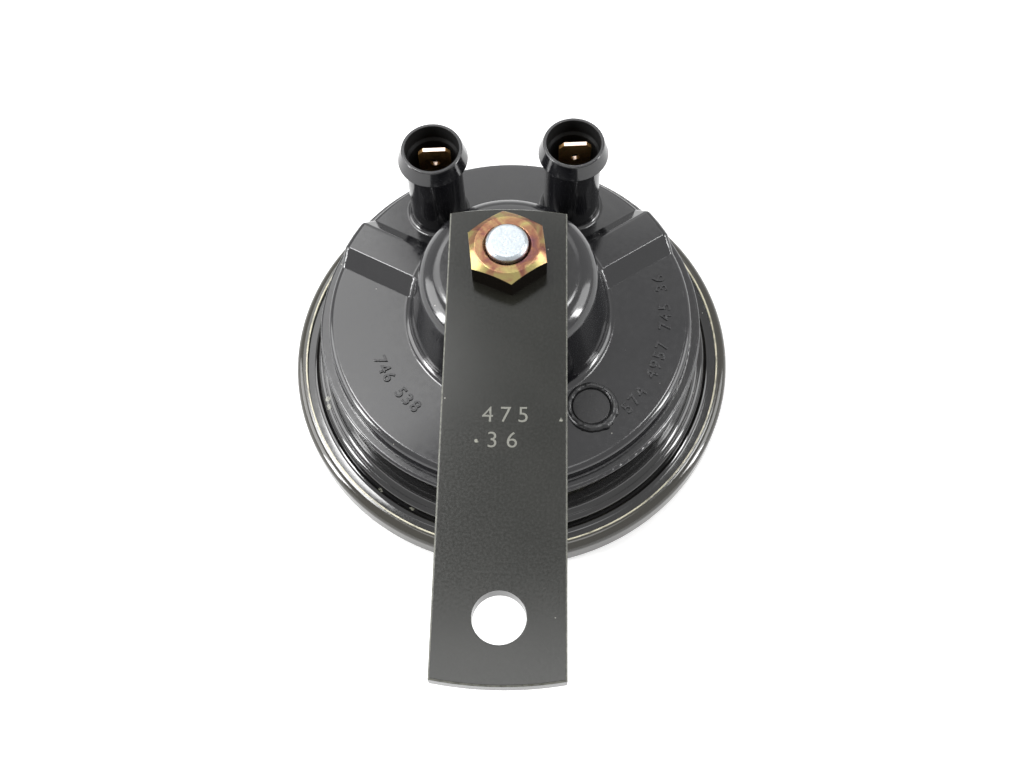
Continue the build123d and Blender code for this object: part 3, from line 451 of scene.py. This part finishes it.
def bare_metal(name, hue, stain, *, roughness, spacing, depth, lines, top_painted_highlight=None):
    """Bare metal: turning rings, or lines along an axis, stretch its glints under a thin film.

    Faces that look up take a painted highlight in a hue of their own, when one is given.
    """
    material, tree = blank(name)
    place = places(tree)
    if lines == "RINGS":
        rings = {
            "Vector": place,
            "Scale": WAVE_PERIOD * MM / spacing,
            "Distortion": 0.6,
            "Detail": 2.0,
        }
        marks = node(
            tree, "ShaderNodeTexWave", rings, wave_type="RINGS", rings_direction="Z"
        ).outputs["Fac"]
    else:
        stretch = tuple(LINE_STRETCH if axis == lines else 1 for axis in "XYZ")
        along = node(tree, "ShaderNodeVectorMath", {0: place, 1: stretch}, operation="MULTIPLY")
        marks = node(
            tree, "ShaderNodeTexNoise", {"Vector": along, "Scale": MM / spacing, "Detail": 3.0}
        )
    # Patches of the film are some 4 mm wide
    patches = {"Vector": place, "Scale": 0.22, "Detail": 5.0, "Roughness": 0.65}
    film = node(tree, "ShaderNodeTexNoise", patches)
    spread = node(tree, "ShaderNodeMapRange", {"Value": film, "From Min": 0.42, "From Max": 0.68})
    skin = node(tree, "ShaderNodeMix", {"Factor": spread, "A": hue, "B": stain}, data_type="RGBA")
    dull = node(
        tree,
        "ShaderNodeMapRange",
        {"Value": marks, "To Min": 0.75 * roughness, "To Max": 1.3 * roughness},
    )
    # Faces that look up get a painted highlight
    if top_painted_highlight:
        level = {"Value": facing_up(tree), "From Min": 0.85, "From Max": 0.95}
        upward = node(tree, "ShaderNodeMapRange", level)
        mixed = {"Factor": upward, "A": skin, "B": top_painted_highlight}
        skin = node(tree, "ShaderNodeMix", mixed, data_type="RGBA")
    inputs = {"Base Color": skin, "Roughness": dull, "Metallic": 1.0}
    surface(tree, inputs, [(marks, depth)])
    return material


def dull_solid(name, hue, second, *, roughness, ior, grit, depth):
    """A moulded, cut or cured solid: two tones lie in fine flecks with a soft grain."""
    material, tree = blank(name)
    place = places(tree)
    grains = {"Vector": place, "Scale": 1 / grit, "Detail": 4.0, "Roughness": 0.6}
    flecks = node(tree, "ShaderNodeTexNoise", grains)
    spread = node(tree, "ShaderNodeMapRange", {"Value": flecks, "From Min": 0.38, "From Max": 0.66})
    tone = node(tree, "ShaderNodeMix", {"Factor": spread, "A": hue, "B": second}, data_type="RGBA")
    dull = node(
        tree,
        "ShaderNodeMapRange",
        {"Value": spread, "To Min": 0.85 * roughness, "To Max": 1.15 * roughness},
    )
    surface(tree, {"Base Color": tone, "Roughness": dull, "IOR": ior}, [(flecks, depth)])
    return material


def banded(name, inputs, hue, second, *, pitch, depth):
    """Thin layers or turns, one above another along the horn's axis, as stripes with a relief."""
    material, tree = blank(name)
    place = places(tree)
    waves = {
        "Vector": place,
        "Scale": WAVE_PERIOD * MM / pitch,
        "Distortion": 0.3,
        "Detail": 1.0,
    }
    stripes = node(
        tree, "ShaderNodeTexWave", waves, wave_type="BANDS", bands_direction="Z"
    ).outputs["Fac"]
    # Fibres and smears are about 0.7 mm wide
    cloth = node(tree, "ShaderNodeTexNoise", {"Vector": place, "Scale": 1.4, "Detail": 4.0})
    mixed = node(tree, "ShaderNodeMath", {0: stripes, 1: cloth}, operation="MULTIPLY")
    tone = node(tree, "ShaderNodeMix", {"Factor": mixed, "A": hue, "B": second}, data_type="RGBA")
    surface(tree, {"Base Color": tone, **inputs}, [(stripes, depth)])
    return material


def rounded(corners):
    """Points of a profile through corners, each with the radius of its fillet."""
    points = [Vector(corners[0][:2])]
    for before, (r, z, fillet), after in zip(corners, corners[1:], corners[2:]):
        corner = Vector((r, z))
        back = (Vector(before[:2]) - corner).normalized()
        ahead = (Vector(after[:2]) - corner).normalized()
        half = back.angle(ahead) / 2
        reach = fillet / tan(half)
        centre = corner + (back + ahead).normalized() * fillet / sin(half)
        first = corner + back * reach - centre
        last = corner + ahead * reach - centre
        for step in range(FILLET_STEPS + 1):
            spoke = first.lerp(last, step / FILLET_STEPS).normalized()
            points.append(centre + spoke * fillet)
    points.append(Vector(corners[-1][:2]))
    return points


def lathe_film(corners, thickness):
    """A thin film of paint round the horn's axis, over a profile in millimetres from its seam."""
    points = [point * MM for point in rounded(corners)]
    profile = []
    for before, point, after in zip(points[:1] + points, points, points[1:] + points[-1:]):
        along = (after - before).normalized()
        profile.append(point + Vector((-along.y, along.x)) * thickness)
    form = bmesh.new()
    rows = []
    level = HORN_AXIS + Vector((0, 0, SEAM_Z))
    for step in range(LATHE_STEPS):
        turn = 2 * pi * step / LATHE_STEPS
        ray = Vector((cos(turn), sin(turn), 0))
        rows.append([form.verts.new(level + ray * r + Vector((0, 0, z))) for r, z in profile])
    for row, following in zip(rows, rows[1:] + rows[:1]):
        for upper in range(len(profile) - 1):
            lower = upper + 1
            form.faces.new((row[upper], row[lower], following[lower], following[upper]))
    return form


def add_piece(name, form, material):
    """Turns a bmesh into a named piece that rides on the housing."""
    mesh = bpy.data.meshes.new(name)
    form.to_mesh(mesh)
    form.free()
    mesh.materials.append(material)
    mesh.shade_smooth()
    piece = bpy.data.objects.new(name, mesh)
    bpy.context.scene.collection.objects.link(piece)
    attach(piece, HOUSING)
    return piece


def digit_mesh(digit, height, proud):
    """One raised digit round the origin, thinned to a tool's stroke and with softened edges."""
    curve = bpy.data.curves.new("digit", "FONT")
    curve.body = digit
    curve.size = height / DIGIT_SHARE
    curve.align_x = "CENTER"
    curve.align_y = "CENTER"
    curve.offset = -STROKE_TRIM * height
    curve.bevel_depth = SOFT_SHARE * proud
    curve.extrude = (1 - SOFT_SHARE) * proud
    holder = bpy.data.objects.new("digit", curve)
    mesh = bpy.data.meshes.new_from_object(holder)
    bpy.data.objects.remove(holder)
    bpy.data.curves.remove(curve)
    return mesh


def raised_mark(name, digits, height, proud, spots, material):
    """Raised digits joined into one piece, each at its own spot."""
    form = bmesh.new()
    for digit, spot in zip(digits, spots):
        made = digit_mesh(digit, height, proud)
        made.transform(spot)
        form.from_mesh(made)
        bpy.data.meshes.remove(made)
    return add_piece(name, form, material)


class HORN_OT_cover(bpy.types.Operator):
    """Dress the moulded rear cover and its seal"""

    bl_idname = "horn.cover"
    bl_label = "Rear cover"

    def execute(self, context):
        colours, grain = settings(context)
        # Glass-filled nylon from a polished mould: deep black, with sharp white reflections that
        # wander a little where the walls shrank, and no sheen of its own
        skin = gloss_skin(
            "polyamide_black_moulded_gloss", colours.cover,
            roughness=0.13, ior=1.62, peel=grain.cover_peel, depth=0.0015 * MM, edge=grain.edge,
            worn=self.socket_bores, wear_and_highlight_hue=colours.rubber, worn_dull=0.4, worn_shine=0.1,
        )
        dress(["rear_cover"], skin)
        # Moulded rubber: a flat black that takes in light and shows only a faint grey sheen
        rubber = dull_solid(
            "nitrile_rubber_moulded", colours.rubber, colours.lead,
            roughness=0.7, ior=1.52, grit=0.6, depth=0.02 * MM,
        )
        dress(["cover_seal"], rubber)
        return {"FINISHED"}

    def socket_bores(self, tree, place):
        """The cores of the mould left the inside of both sockets duller than the outside."""
        bores = []
        for heading in SOCKET_HEADINGS:
            away = axis_distance(tree, place, round_axis(SOCKET_RADIUS, heading))
            within = {0: away, 1: SOCKET_BORE_R}
            bores.append(node(tree, "ShaderNodeMath", within, operation="LESS_THAN"))
        return either(tree, bores)


class HORN_OT_body(bpy.types.Operator):
    """Dress the pressed body shell, the rolled front ring and the gaskets"""

    bl_idname = "horn.body"
    bl_label = "Body and ring"

    def execute(self, context):
        colours, grain = settings(context)
        # Enamel dipped over pressed steel: a wet black in which every step of the shell draws a
        # long clear highlight, broken by a few runs and grains of grit
        shell = gloss_skin(
            "steel_pressed_black_enamel", colours.enamel,
            roughness=0.08, ior=1.62, peel=grain.paint_peel, depth=0.0015 * MM,
            worn=self.paint_faults, wear_and_highlight_hue=colours.worn,
        )
        dress(["body_shell"], shell)
        # The same enamel thin over a rolled ring: a brownish black, glossy on the crown, with a
        # thin cream highlight painted along its lip
        ring = gloss_skin(
            "steel_rolled_dark_enamel", colours.ring,
            roughness=0.1, ior=1.62, peel=grain.paint_peel, depth=0.0015 * MM,
            worn=self.lip_painted_highlight, wear_and_highlight_hue=colours.lip,
        )
        dress(["front_ring"], ring)
        add_piece("body_paint_film", lathe_film(SHELL_PROFILE, grain.film), shell)
        add_piece("ring_paint_film", lathe_film(RING_PROFILE, grain.film), ring)
        # Pressed and cut fibre: a flat dusty brown with darker fibres in it
        board = dull_solid(
            "fibre_board_cut", colours.gasket, colours.phenolic_dark,
            roughness=0.85, ior=1.5, grit=0.5, depth=0.03 * MM,
        )
        dress(["rear_gasket", "front_gasket"], board)
        return {"FINISHED"}

    def paint_faults(self, tree, place):
        """Runs and grit in the body's paint."""
        spots = [round_axis(*fault) for fault in PAINT_FAULTS]
        return faults(tree, place, spots, PAINT_FAULT_R)

    def lip_painted_highlight(self, tree, place):
        """A painted highlight along the ring's cut lip, cream all round and a little uneven."""
        lip_r = RING_PROFILE[0][0]
        reach = {
            "Value": axis_distance(tree, place),
            "From Min": lip_r + LIP_END,
            "From Max": lip_r + LIP_SHINE,
        }
        near = node(tree, "ShaderNodeMapRange", reach)
        height = node(tree, "ShaderNodeSeparateXYZ", {"Vector": place}).outputs["Z"]
        over = {0: height, 1: SEAM_Z / MM - LIP_DEPTH}
        rear = node(tree, "ShaderNodeMath", over, operation="GREATER_THAN")
        rim = node(tree, "ShaderNodeMath", {0: near, 1: rear}, operation="MULTIPLY")
        # Each patch of the painted highlight is about 3 mm long
        rubs_and_highlight_patches = node(tree, "ShaderNodeTexNoise", {"Vector": place, "Scale": 0.35, "Detail": 3.0})
        share = {"Value": rubs_and_highlight_patches, "From Min": 0.35, "From Max": 0.5, "To Min": 0.5}
        uneven = node(tree, "ShaderNodeMapRange", share)
        return node(tree, "ShaderNodeMath", {0: rim, 1: uneven}, operation="MULTIPLY")


class HORN_OT_sounder(bpy.types.Operator):
    """Dress the diaphragm, the armature, its washers and the tone disc"""

    bl_idname = "horn.sounder"
    bl_label = "Diaphragm and tone disc"

    def execute(self, context):
        colours, grain = settings(context)
        # Cold-rolled strip: cool grey with fine lines one way, which draw its glints out sideways
        sheet = bare_metal(
            "spring_steel_cold_rolled", colours.spring, colours.steel_stain,
            roughness=0.3, spacing=grain.brushing, depth=0.002 * MM, lines="Y",
        )
        dress(["diaphragm"], sheet)
        # Rings from the lathe open a glint into a bright fan round the axis, under a film of oil
        turned = bare_metal(
            "steel_turned_plain", colours.steel, colours.steel_stain,
            roughness=0.3, spacing=grain.turning, depth=0.004 * MM, lines="RINGS",
        )
        dress(["armature", "inner_washer", "tone_disc_spacer", "centre_washer"], turned)
        # Thin satin enamel: black that greys softly towards the light and mirrors nothing clearly
        disc = gloss_skin(
            "steel_pressed_satin_enamel", colours.enamel,
            roughness=0.34, ior=1.5, peel=grain.paint_peel, depth=0.006 * MM,
        )
        dress(["tone_disc"], disc)
        return {"FINISHED"}


class HORN_OT_magnet(bpy.types.Operator):
    """Dress the yoke, the bobbin, the winding and its two leads"""

    bl_idname = "horn.magnet"
    bl_label = "Magnet"

    def execute(self, context):
        colours, grain = settings(context)
        # Draw marks run up the walls of deep-drawn steel and make its soft grey shine streaky
        drawn = bare_metal(
            "steel_deep_drawn", colours.steel, colours.steel_stain,
            roughness=0.38, spacing=grain.brushing, depth=0.004 * MM, lines="Z",
        )
        dress(["yoke_cup", "adjuster_nut", "breaker_clamp_plate", "breaker_rivets"], drawn)
        # Unfilled moulded nylon: warm ivory, more waxy than glossy, clouded by its flow
        natural = dull_solid(
            "nylon_natural_moulded", colours.nylon, colours.gasket,
            roughness=0.45, ior=1.53, grit=2.5, depth=0.01 * MM,
        )
        dress(["coil_bobbin", "terminal_bushes"], natural)
        # Turns of varnished wire lie side by side, each with its own thin warm highlight
        wound = banded(
            "copper_wire_enamelled_wound",
            {"Metallic": 0.85, "Roughness": 0.25, "Coat Weight": 0.6, "Coat Roughness": 0.1},
            colours.copper, colours.brass_stain,
            pitch=grain.wire, depth=0.12 * MM,
        )
        dress(["coil_winding"], wound)
        # A single varnished wire: smooth and reddish, with one long glint and faint draw lines
        drawn_wire = bare_metal(
            "copper_wire_enamelled_drawn", colours.copper, colours.brass_stain,
            roughness=0.22, spacing=grain.brushing, depth=0.002 * MM, lines="Y",
        )
        dress(["coil_lead_terminal", "coil_lead_breaker"], drawn_wire)
        return {"FINISHED"}


class HORN_OT_breaker(bpy.types.Operator):
    """Dress the contact breaker and its resistor"""

    bl_idname = "horn.breaker"
    bl_label = "Contact breaker"

    def execute(self, context):
        colours, grain = settings(context)
        # Resin-soaked paper: satin brown plates whose cut edges show thin darker layers
        laminate = banded(
            "phenolic_paper_laminate", {"Roughness": 0.5, "IOR": 1.6},
            colours.phenolic, colours.phenolic_dark,
            pitch=grain.layer, depth=0.02 * MM,
        )
        plates = ["insulator_upper", "insulator_middle", "insulator_lower", "trip_button"]
        dress([*plates, "terminal_insulator"], laminate)
        # Rolled bronze: warm golden brown, with lines along the arms and a smoky tarnish
        bronze = bare_metal(
            "spring_bronze_cold_rolled", colours.bronze, colours.brass_stain,
            roughness=0.28, spacing=grain.brushing, depth=0.002 * MM, lines="Y",
        )
        dress(["moving_contact_arm", "fixed_contact_arm"], bronze)
        # Ground tungsten: a dense grey, rather dull, crossed by grinding lines
        tips = bare_metal(
            "tungsten_ground", colours.tungsten, colours.steel_stain,
            roughness=0.4, spacing=grain.brushing, depth=0.003 * MM, lines="X",
        )
        dress(["moving_contact", "fixed_contact"], tips)
        # Fired glaze: a cloudy green with a glassy shine
        enamel = dull_solid(
            "ceramic_vitreous_enamel", colours.resistor, colours.enamel,
            roughness=0.2, ior=1.55, grit=3.0, depth=0.01 * MM,
        )
        dress(["arc_resistor"], enamel)
        return {"FINISHED"}


class HORN_OT_adjuster(bpy.types.Operator):
    """Dress the adjusting screw and lay its lumpy sealant bead"""

    bl_idname = "horn.adjuster"
    bl_label = "Adjusting screw"

    def execute(self, context):
        colours, grain = settings(context)
        # Phosphated and oiled steel: near black, with a slightly crystalline low shine
        blackened = dull_solid(
            "steel_phosphated_black", colours.screw, colours.enamel,
            roughness=0.3, ior=1.45, grit=1.8, depth=0.02 * MM,
        )
        dress(["adjusting_screw"], blackened)
        # Cured sealant: a rubbery black whose lumps catch short broken highlights
        cured = dull_solid(
            "polyurethane_sealant_cured", colours.sealant, colours.rubber,
            roughness=0.3, ior=1.5, grit=0.9, depth=0.08 * MM,
        )
        bead = add_piece("sealant_bead", self.bead_form(grain.bead_lump), cured)
        smooth = bead.modifiers.new("smooth", "SUBSURF")
        smooth.levels = smooth.render_levels = 1
        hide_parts("adjuster_sealant")
        return {"FINISHED"}

    def bead_form(self, lump):
        """A ring of sealant squeezed out round the screw's head, most on its outer side."""
        low, high = (Vector(corner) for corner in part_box("adjuster_sealant"))
        head_low, head_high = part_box("adjusting_screw")
        centre = (low + high) / 2
        inner_r = (head_high[0] - head_low[0]) / 2 - BEAD_TUCK * MM
        outer_r = (high.x - low.x) / 2
        sink = BEAD_SINK * MM
        outward = (centre - HORN_AXIS).xy.normalized()
        form = bmesh.new()
        rows = []
        for step in range(BEAD_STEPS):
            turn = 2 * pi * step / BEAD_STEPS
            ray = Vector((cos(turn), sin(turn)))
            # The last number of each place picks the noise, as a seed does
            swell = noise.noise(Vector((BEAD_SWELL * ray.x, BEAD_SWELL * ray.y, 0.5)))
            crumb = noise.noise(Vector((BEAD_CRUMB * ray.x, BEAD_CRUMB * ray.y, 4.5)))
            away = max(ray.dot(outward), 0)
            reach = outer_r + lump * (0.9 * away + away * crumb + 0.3 * swell)
            crest = (high.z - low.z) * (0.8 + 0.35 * swell) + 0.4 * lump * crumb
            row = []
            for arc in range(BEAD_ARCS):
                share = arc / (BEAD_ARCS - 1)
                r = inner_r + (reach - inner_r) * (0.5 - 0.5 * cos(pi * share))
                z = low.z - sink + (crest + sink) * sin(pi * share) ** 0.7
                row.append(form.verts.new((centre.x + r * ray.x, centre.y + r * ray.y, z)))
            rows.append(row)
        for row, following in zip(rows, rows[1:] + rows[:1]):
            for arc in range(BEAD_ARCS - 1):
                form.faces.new((row[arc], row[arc + 1], following[arc + 1], following[arc]))
            form.faces.new((row[-1], row[0], following[0], following[-1]))
        bmesh.ops.recalc_face_normals(form, faces=form.faces)
        return form


class HORN_OT_terminals(bpy.types.Operator):
    """Dress the blade terminals, their rivets and the inner lead"""

    bl_idname = "horn.terminals"
    bl_label = "Terminals"

    def execute(self, context):
        colours, grain = settings(context)
        # Rolled brass with brown tarnish between its lines, and a painted highlight, nearly white,
        # on the faces that look up at the blades' ends
        brass = bare_metal(
            "brass_rolled_strip", colours.brass, colours.brass_stain,
            roughness=0.42, spacing=grain.brushing, depth=0.003 * MM, lines="Z",
            top_painted_highlight=colours.sheared,
        )
        dress(["terminal_left", "terminal_right", "terminal_rivets"], brass)
        # Extruded vinyl: smooth black with a soft sheen along the lead
        sleeve = dull_solid(
            "vinyl_extruded_sleeve", colours.lead, colours.rubber,
            roughness=0.4, ior=1.53, grit=1.5, depth=0.01 * MM,
        )
        dress(["breaker_lead"], sleeve)
        return {"FINISHED"}


class HORN_OT_bracket(bpy.types.Operator):
    """Dress the strap bracket"""

    bl_idname = "horn.bracket"
    bl_label = "Bracket"

    def execute(self, context):
        colours, grain = settings(context)
        # Thin coating baked on a rolled bar: an olive black whose grain breaks the shine into a
        # soft haze, pale where the sheared edges rub it thin
        coat = gloss_skin(
            "steel_bar_black_coated", colours.strap,
            roughness=0.17, ior=1.5, peel=grain.coat_grain, depth=0.002 * MM, edge=grain.edge,
            worn=self.bar_wear, wear_and_highlight_hue=colours.worn,
        )
        dress(["mounting_bracket"], coat)
        return {"FINISHED"}

    def bar_wear(self, tree, place):
        """Thin coating on the sheared edges, which face half sideways, and a few nicks."""
        half_up = {0: facing_up(tree), 1: 0.7, 2: 0.25}
        tilt = node(tree, "ShaderNodeMath", half_up, operation="COMPARE")
        # Each rub is about 1.2 mm long
        rubs_and_highlight_patches = node(tree, "ShaderNodeTexNoise", {"Vector": place, "Scale": 0.8, "Detail": 4.0})
        edge = node(tree, "ShaderNodeMath", {0: tilt, 1: rubs_and_highlight_patches}, operation="MULTIPLY")
        return either(tree, [edge, faults(tree, place, STRAP_NICKS, STRAP_NICK_R)])


class HORN_OT_fasteners(bpy.types.Operator):
    """Dress the nut and the stud"""

    bl_idname = "horn.fasteners"
    bl_label = "Nut and stud"

    def execute(self, context):
        colours, grain = settings(context)
        dress(["mounting_nut"], self.yellow_zinc(colours, grain))
        dress(["core_stud"], self.white_zinc(colours, grain))
        return {"FINISHED"}

    def yellow_zinc(self, colours, grain):
        """Yellow passivated zinc: its film turns from rose through gold to green in patches."""
        # The clear film's thickness gives the colours, over metal that still flashes. The upright
        # flats are painted a dark brown, a painted reflection of the dark strap below them
        material, tree = blank("steel_yellow_passivated_zinc")
        place = places(tree)
        patches = node(
            tree,
            "ShaderNodeTexNoise",
            {"Vector": place, "Scale": MM / grain.iris, "Detail": 3.0, "Distortion": 0.8},
        )
        inner_r, outer_r = NUT_FACE
        shift = {
            "Value": axis_distance(tree, place),
            "From Min": inner_r,
            "From Max": outer_r,
            "To Min": -0.05,
            "To Max": 0.1,
        }
        outward = node(tree, "ShaderNodeMapRange", shift)
        film = node(tree, "ShaderNodeMath", {0: patches, 1: outward}, operation="ADD")
        tones = node(tree, "ShaderNodeValToRGB", {"Fac": film})
        stops = (
            (0.28, colours.zinc_violet),
            (0.43, colours.zinc_rose),
            (0.54, colours.zinc_gold),
            (0.66, colours.zinc_green),
        )
        while len(tones.color_ramp.elements) < len(stops):
            tones.color_ramp.elements.new(0.5)
        for stop, (at, tone) in zip(tones.color_ramp.elements, stops):
            stop.position = at
            stop.color = (*tone, 1)
        # The upright flats take a dark brown, a painted reflection of the strap below
        upright = node(
            tree,
            "ShaderNodeMapRange",
            {"Value": facing_up(tree), "From Min": 0.45, "From Max": 0.1},
        )
        mixed = {"Factor": upright, "A": tones, "B": colours.flats_painted_reflection}
        skin = node(tree, "ShaderNodeMix", mixed, data_type="RGBA")
        # The plating's grit is a third of a millimetre wide, coarser than the real one's
        grit = node(tree, "ShaderNodeTexNoise", {"Vector": place, "Scale": 3.0, "Detail": 4.0})
        dull = node(tree, "ShaderNodeMapRange", {"Value": grit, "To Min": 0.1, "To Max": 0.34})
        inputs = {"Base Color": skin, "Roughness": dull, "Metallic": 1.0}
        surface(tree, inputs, [(grit, 0.004 * MM)], grain.edge)
        return material

    def white_zinc(self, colours, grain):
        """Blue-white zinc on a cropped stud end: a grainy crystal look that scatters light."""
        # Its crystals face every way, so the end glitters in pale cold grains instead of mirroring
        material, tree = blank("steel_blue_white_zinc")
        place = places(tree)
        crystals = node(
            tree,
            "ShaderNodeTexNoise",
            {"Vector": place, "Scale": MM / grain.crystal, "Detail": 4.0, "Roughness": 0.7},
        )
        mixed = {"Factor": crystals, "A": colours.stud, "B": colours.stud_shade}
        tone = node(tree, "ShaderNodeMix", mixed, data_type="RGBA")
        dull = node(tree, "ShaderNodeMapRange", {"Value": crystals, "To Min": 0.14, "To Max": 0.42})
        inputs = {"Base Color": tone, "Roughness": dull, "Metallic": 1.0}
        surface(tree, inputs, [(crystals, 0.035 * MM)], grain.edge)
        return material


class HORN_OT_marks(bpy.types.Operator):
    """Add the raised digits on the cover and on the strap"""

    bl_idname = "horn.marks"
    bl_label = "Digits"

    def execute(self, context):
        colours, grain = settings(context)
        # The cover's own plastic from engraved, unpolished hollows: a softer shine than the face
        moulded = gloss_skin(
            "polyamide_black_moulded_digits", colours.cover,
            roughness=0.25, ior=1.53, peel=grain.cover_peel, depth=0.004 * MM,
        )
        for name, text, radius, start, end in COVER_DIGITS:
            raised_mark(
                name,
                text.replace(" ", ""),
                grain.cover_digit,
                grain.cover_proud,
                self.arc_spots(text, radius, start, end),
                moulded,
            )
        # Coating rubbed thin on stamped digits: a matt pale grey against the black strap
        coat = gloss_skin(
            "steel_bar_stamped_digits", colours.digit,
            roughness=0.3, ior=1.5, peel=grain.coat_grain, depth=0.004 * MM,
        )
        raised_mark(
            "strap_digits",
            [digit for digit, x, y in STRAP_DIGITS],
            grain.strap_digit,
            grain.strap_proud,
            [Matrix.Translation((x * MM, y * MM, 0)) for digit, x, y in STRAP_DIGITS],
            coat,
        )
        return {"FINISHED"}

    def arc_spots(self, text, radius, start, end):
        """Spots along an arc on the cover's face, read anticlockwise, with gaps for spaces."""
        spots = []
        for index, character in enumerate(text):
            if character == " ":
                continue
            turn = radians(start + (end - start) * index / (len(text) - 1)) + BODY_TURN
            spots.append(
                Matrix.Translation((*HORN_AXIS.xy, FACE_Z))
                @ Matrix.Rotation(turn, 4, "Z")
                @ Matrix.Translation((radius * MM, 0, 0))
                @ Matrix.Rotation(pi / 2, 4, "Z")
            )
        return spots


class HORN_OT_stage(bpy.types.Operator):
    """Add the floor, the lamps, the surround and the camera"""

    bl_idname = "horn.stage"
    bl_label = "Stage"

    def execute(self, context):
        stage = context.scene.horn_stage
        self.add_floor(context, stage)
        self.add_surround(context, stage)
        self.add_lamps(context, stage)
        self.add_camera(context, stage)
        context.scene.view_settings.view_transform = "Standard"
        return {"FINISHED"}

    def seen_directly(self, tree):
        """1 for rays from the camera and for those in reflections and glass, else 0."""
        path = node(tree, "ShaderNodeLightPath")
        rays = ("Is Camera Ray", "Is Glossy Ray", "Is Transmission Ray")
        return either(tree, [path.outputs[ray] for ray in rays])

    def add_floor(self, context, stage):
        """A wide floor that shows white and still keeps the horn's shadow."""
        mesh = bpy.data.meshes.new("floor")
        ends = (-FLOOR_REACH, FLOOR_REACH)
        corners = [(ends[x], ends[y], FLOOR_Z) for x, y in ((0, 0), (1, 0), (1, 1), (0, 1))]
        mesh.from_pydata(corners, [], [(0, 1, 2, 3)])
        floor = bpy.data.objects.new("floor", mesh)
        context.scene.collection.objects.link(floor)
        # Matt paper: an even white with no shine, on which the shadow stays soft and grey
        material, tree = blank("paper_white_matt")
        white = {0: self.seen_directly(tree), 1: stage.floor_lift}
        lift = node(tree, "ShaderNodeMath", white, operation="MULTIPLY")
        glow = node(tree, "ShaderNodeEmission", {"Strength": lift})
        paper = node(tree, "ShaderNodeBsdfDiffuse", {"Color": stage.paper})
        both = node(tree, "ShaderNodeAddShader", {0: glow, 1: paper})
        node(tree, "ShaderNodeOutputMaterial", {"Surface": both})
        mesh.materials.append(material)

    def add_surround(self, context, stage):
        """A plain white surround, seen at full strength and lighting at its own."""
        world = bpy.data.worlds.new("surround")
        world.use_nodes = True
        tree = world.node_tree
        tree.nodes.clear()
        ends = {"Factor": self.seen_directly(tree), "A": stage.sky, "B": 1.0}
        strength = node(tree, "ShaderNodeMix", ends, data_type="FLOAT")
        shown = {"Color": stage.surround, "Strength": strength}
        glow = node(tree, "ShaderNodeBackground", shown)
        node(tree, "ShaderNodeOutputWorld", {"Surface": glow})
        context.scene.world = world

    def add_lamps(self, context, stage):
        """Soft boxes round the horn, whose power follows from their size and radiance."""
        centre = HORN_AXIS + Vector((0, 0, SEAM_Z))
        for name, heading, height, width, depth, radiance in SOFT_BOXES:
            light = bpy.data.lights.new(name, "AREA")
            light.shape = "RECTANGLE"
            light.size, light.size_y = width, depth
            light.energy = stage.lamps * radiance * pi * width * depth
            lamp = bpy.data.objects.new(name, light)
            turn, rise = radians(heading), radians(height)
            level = LAMP_REACH * cos(rise)
            away = Vector((level * sin(turn), level * cos(turn), LAMP_REACH * sin(rise)))
            lamp.location = centre + away
            lamp.rotation_euler = (-away).to_track_quat("-Z", "Y").to_euler()
            context.scene.collection.objects.link(lamp)

    def add_camera(self, context, stage):
        """The camera, over the bracket's free end and looking down at the cover."""
        data = bpy.data.cameras.new("camera")
        data.sensor_width = SENSOR_WIDTH
        data.lens = stage.lens / MM
        data.clip_start = 5 * MM
        camera = bpy.data.objects.new("camera", data)
        heading, tilt, roll = stage.camera_turn
        turn = (
            Matrix.Rotation(heading, 4, "Z")
            @ Matrix.Rotation(tilt, 4, "X")
            @ Matrix.Rotation(roll, 4, "Z")
        )
        camera.matrix_world = Matrix.Translation(stage.camera_place) @ turn
        context.scene.collection.objects.link(camera)
        context.scene.camera = camera


class HORN_PT_panel(bpy.types.Panel):
    """Lists the horn's pieces and its stage"""

    bl_idname = "HORN_PT_panel"
    bl_label = "Disc horn"
    bl_space_type = "VIEW_3D"
    bl_region_type = "UI"
    bl_category = "Horn"

    def draw(self, context):
        for step in STEPS:
            self.layout.operator(step.bl_idname, text=step.bl_label)


GROUPS = {"horn_colours": HornColours, "horn_grain": HornGrain, "horn_stage": HornStage}
STEPS = (
    HORN_OT_cover,
    HORN_OT_body,
    HORN_OT_sounder,
    HORN_OT_magnet,
    HORN_OT_breaker,
    HORN_OT_adjuster,
    HORN_OT_terminals,
    HORN_OT_bracket,
    HORN_OT_fasteners,
    HORN_OT_marks,
    HORN_OT_stage,
)


def register():
    for group in GROUPS.values():
        bpy.utils.register_class(group)
    for name, group in GROUPS.items():
        setattr(bpy.types.Scene, name, bpy.props.PointerProperty(type=group))
    for step in STEPS:
        bpy.utils.register_class(step)
    bpy.utils.register_class(HORN_PT_panel)


def unregister():
    bpy.utils.unregister_class(HORN_PT_panel)
    for step in reversed(STEPS):
        bpy.utils.unregister_class(step)
    for name, group in GROUPS.items():
        delattr(bpy.types.Scene, name)
        bpy.utils.unregister_class(group)


def main():
    register()
    for step in STEPS:
        family, name = step.bl_idname.split(".")
        getattr(getattr(bpy.ops, family), name)()


if __name__ == "__main__":
    main()
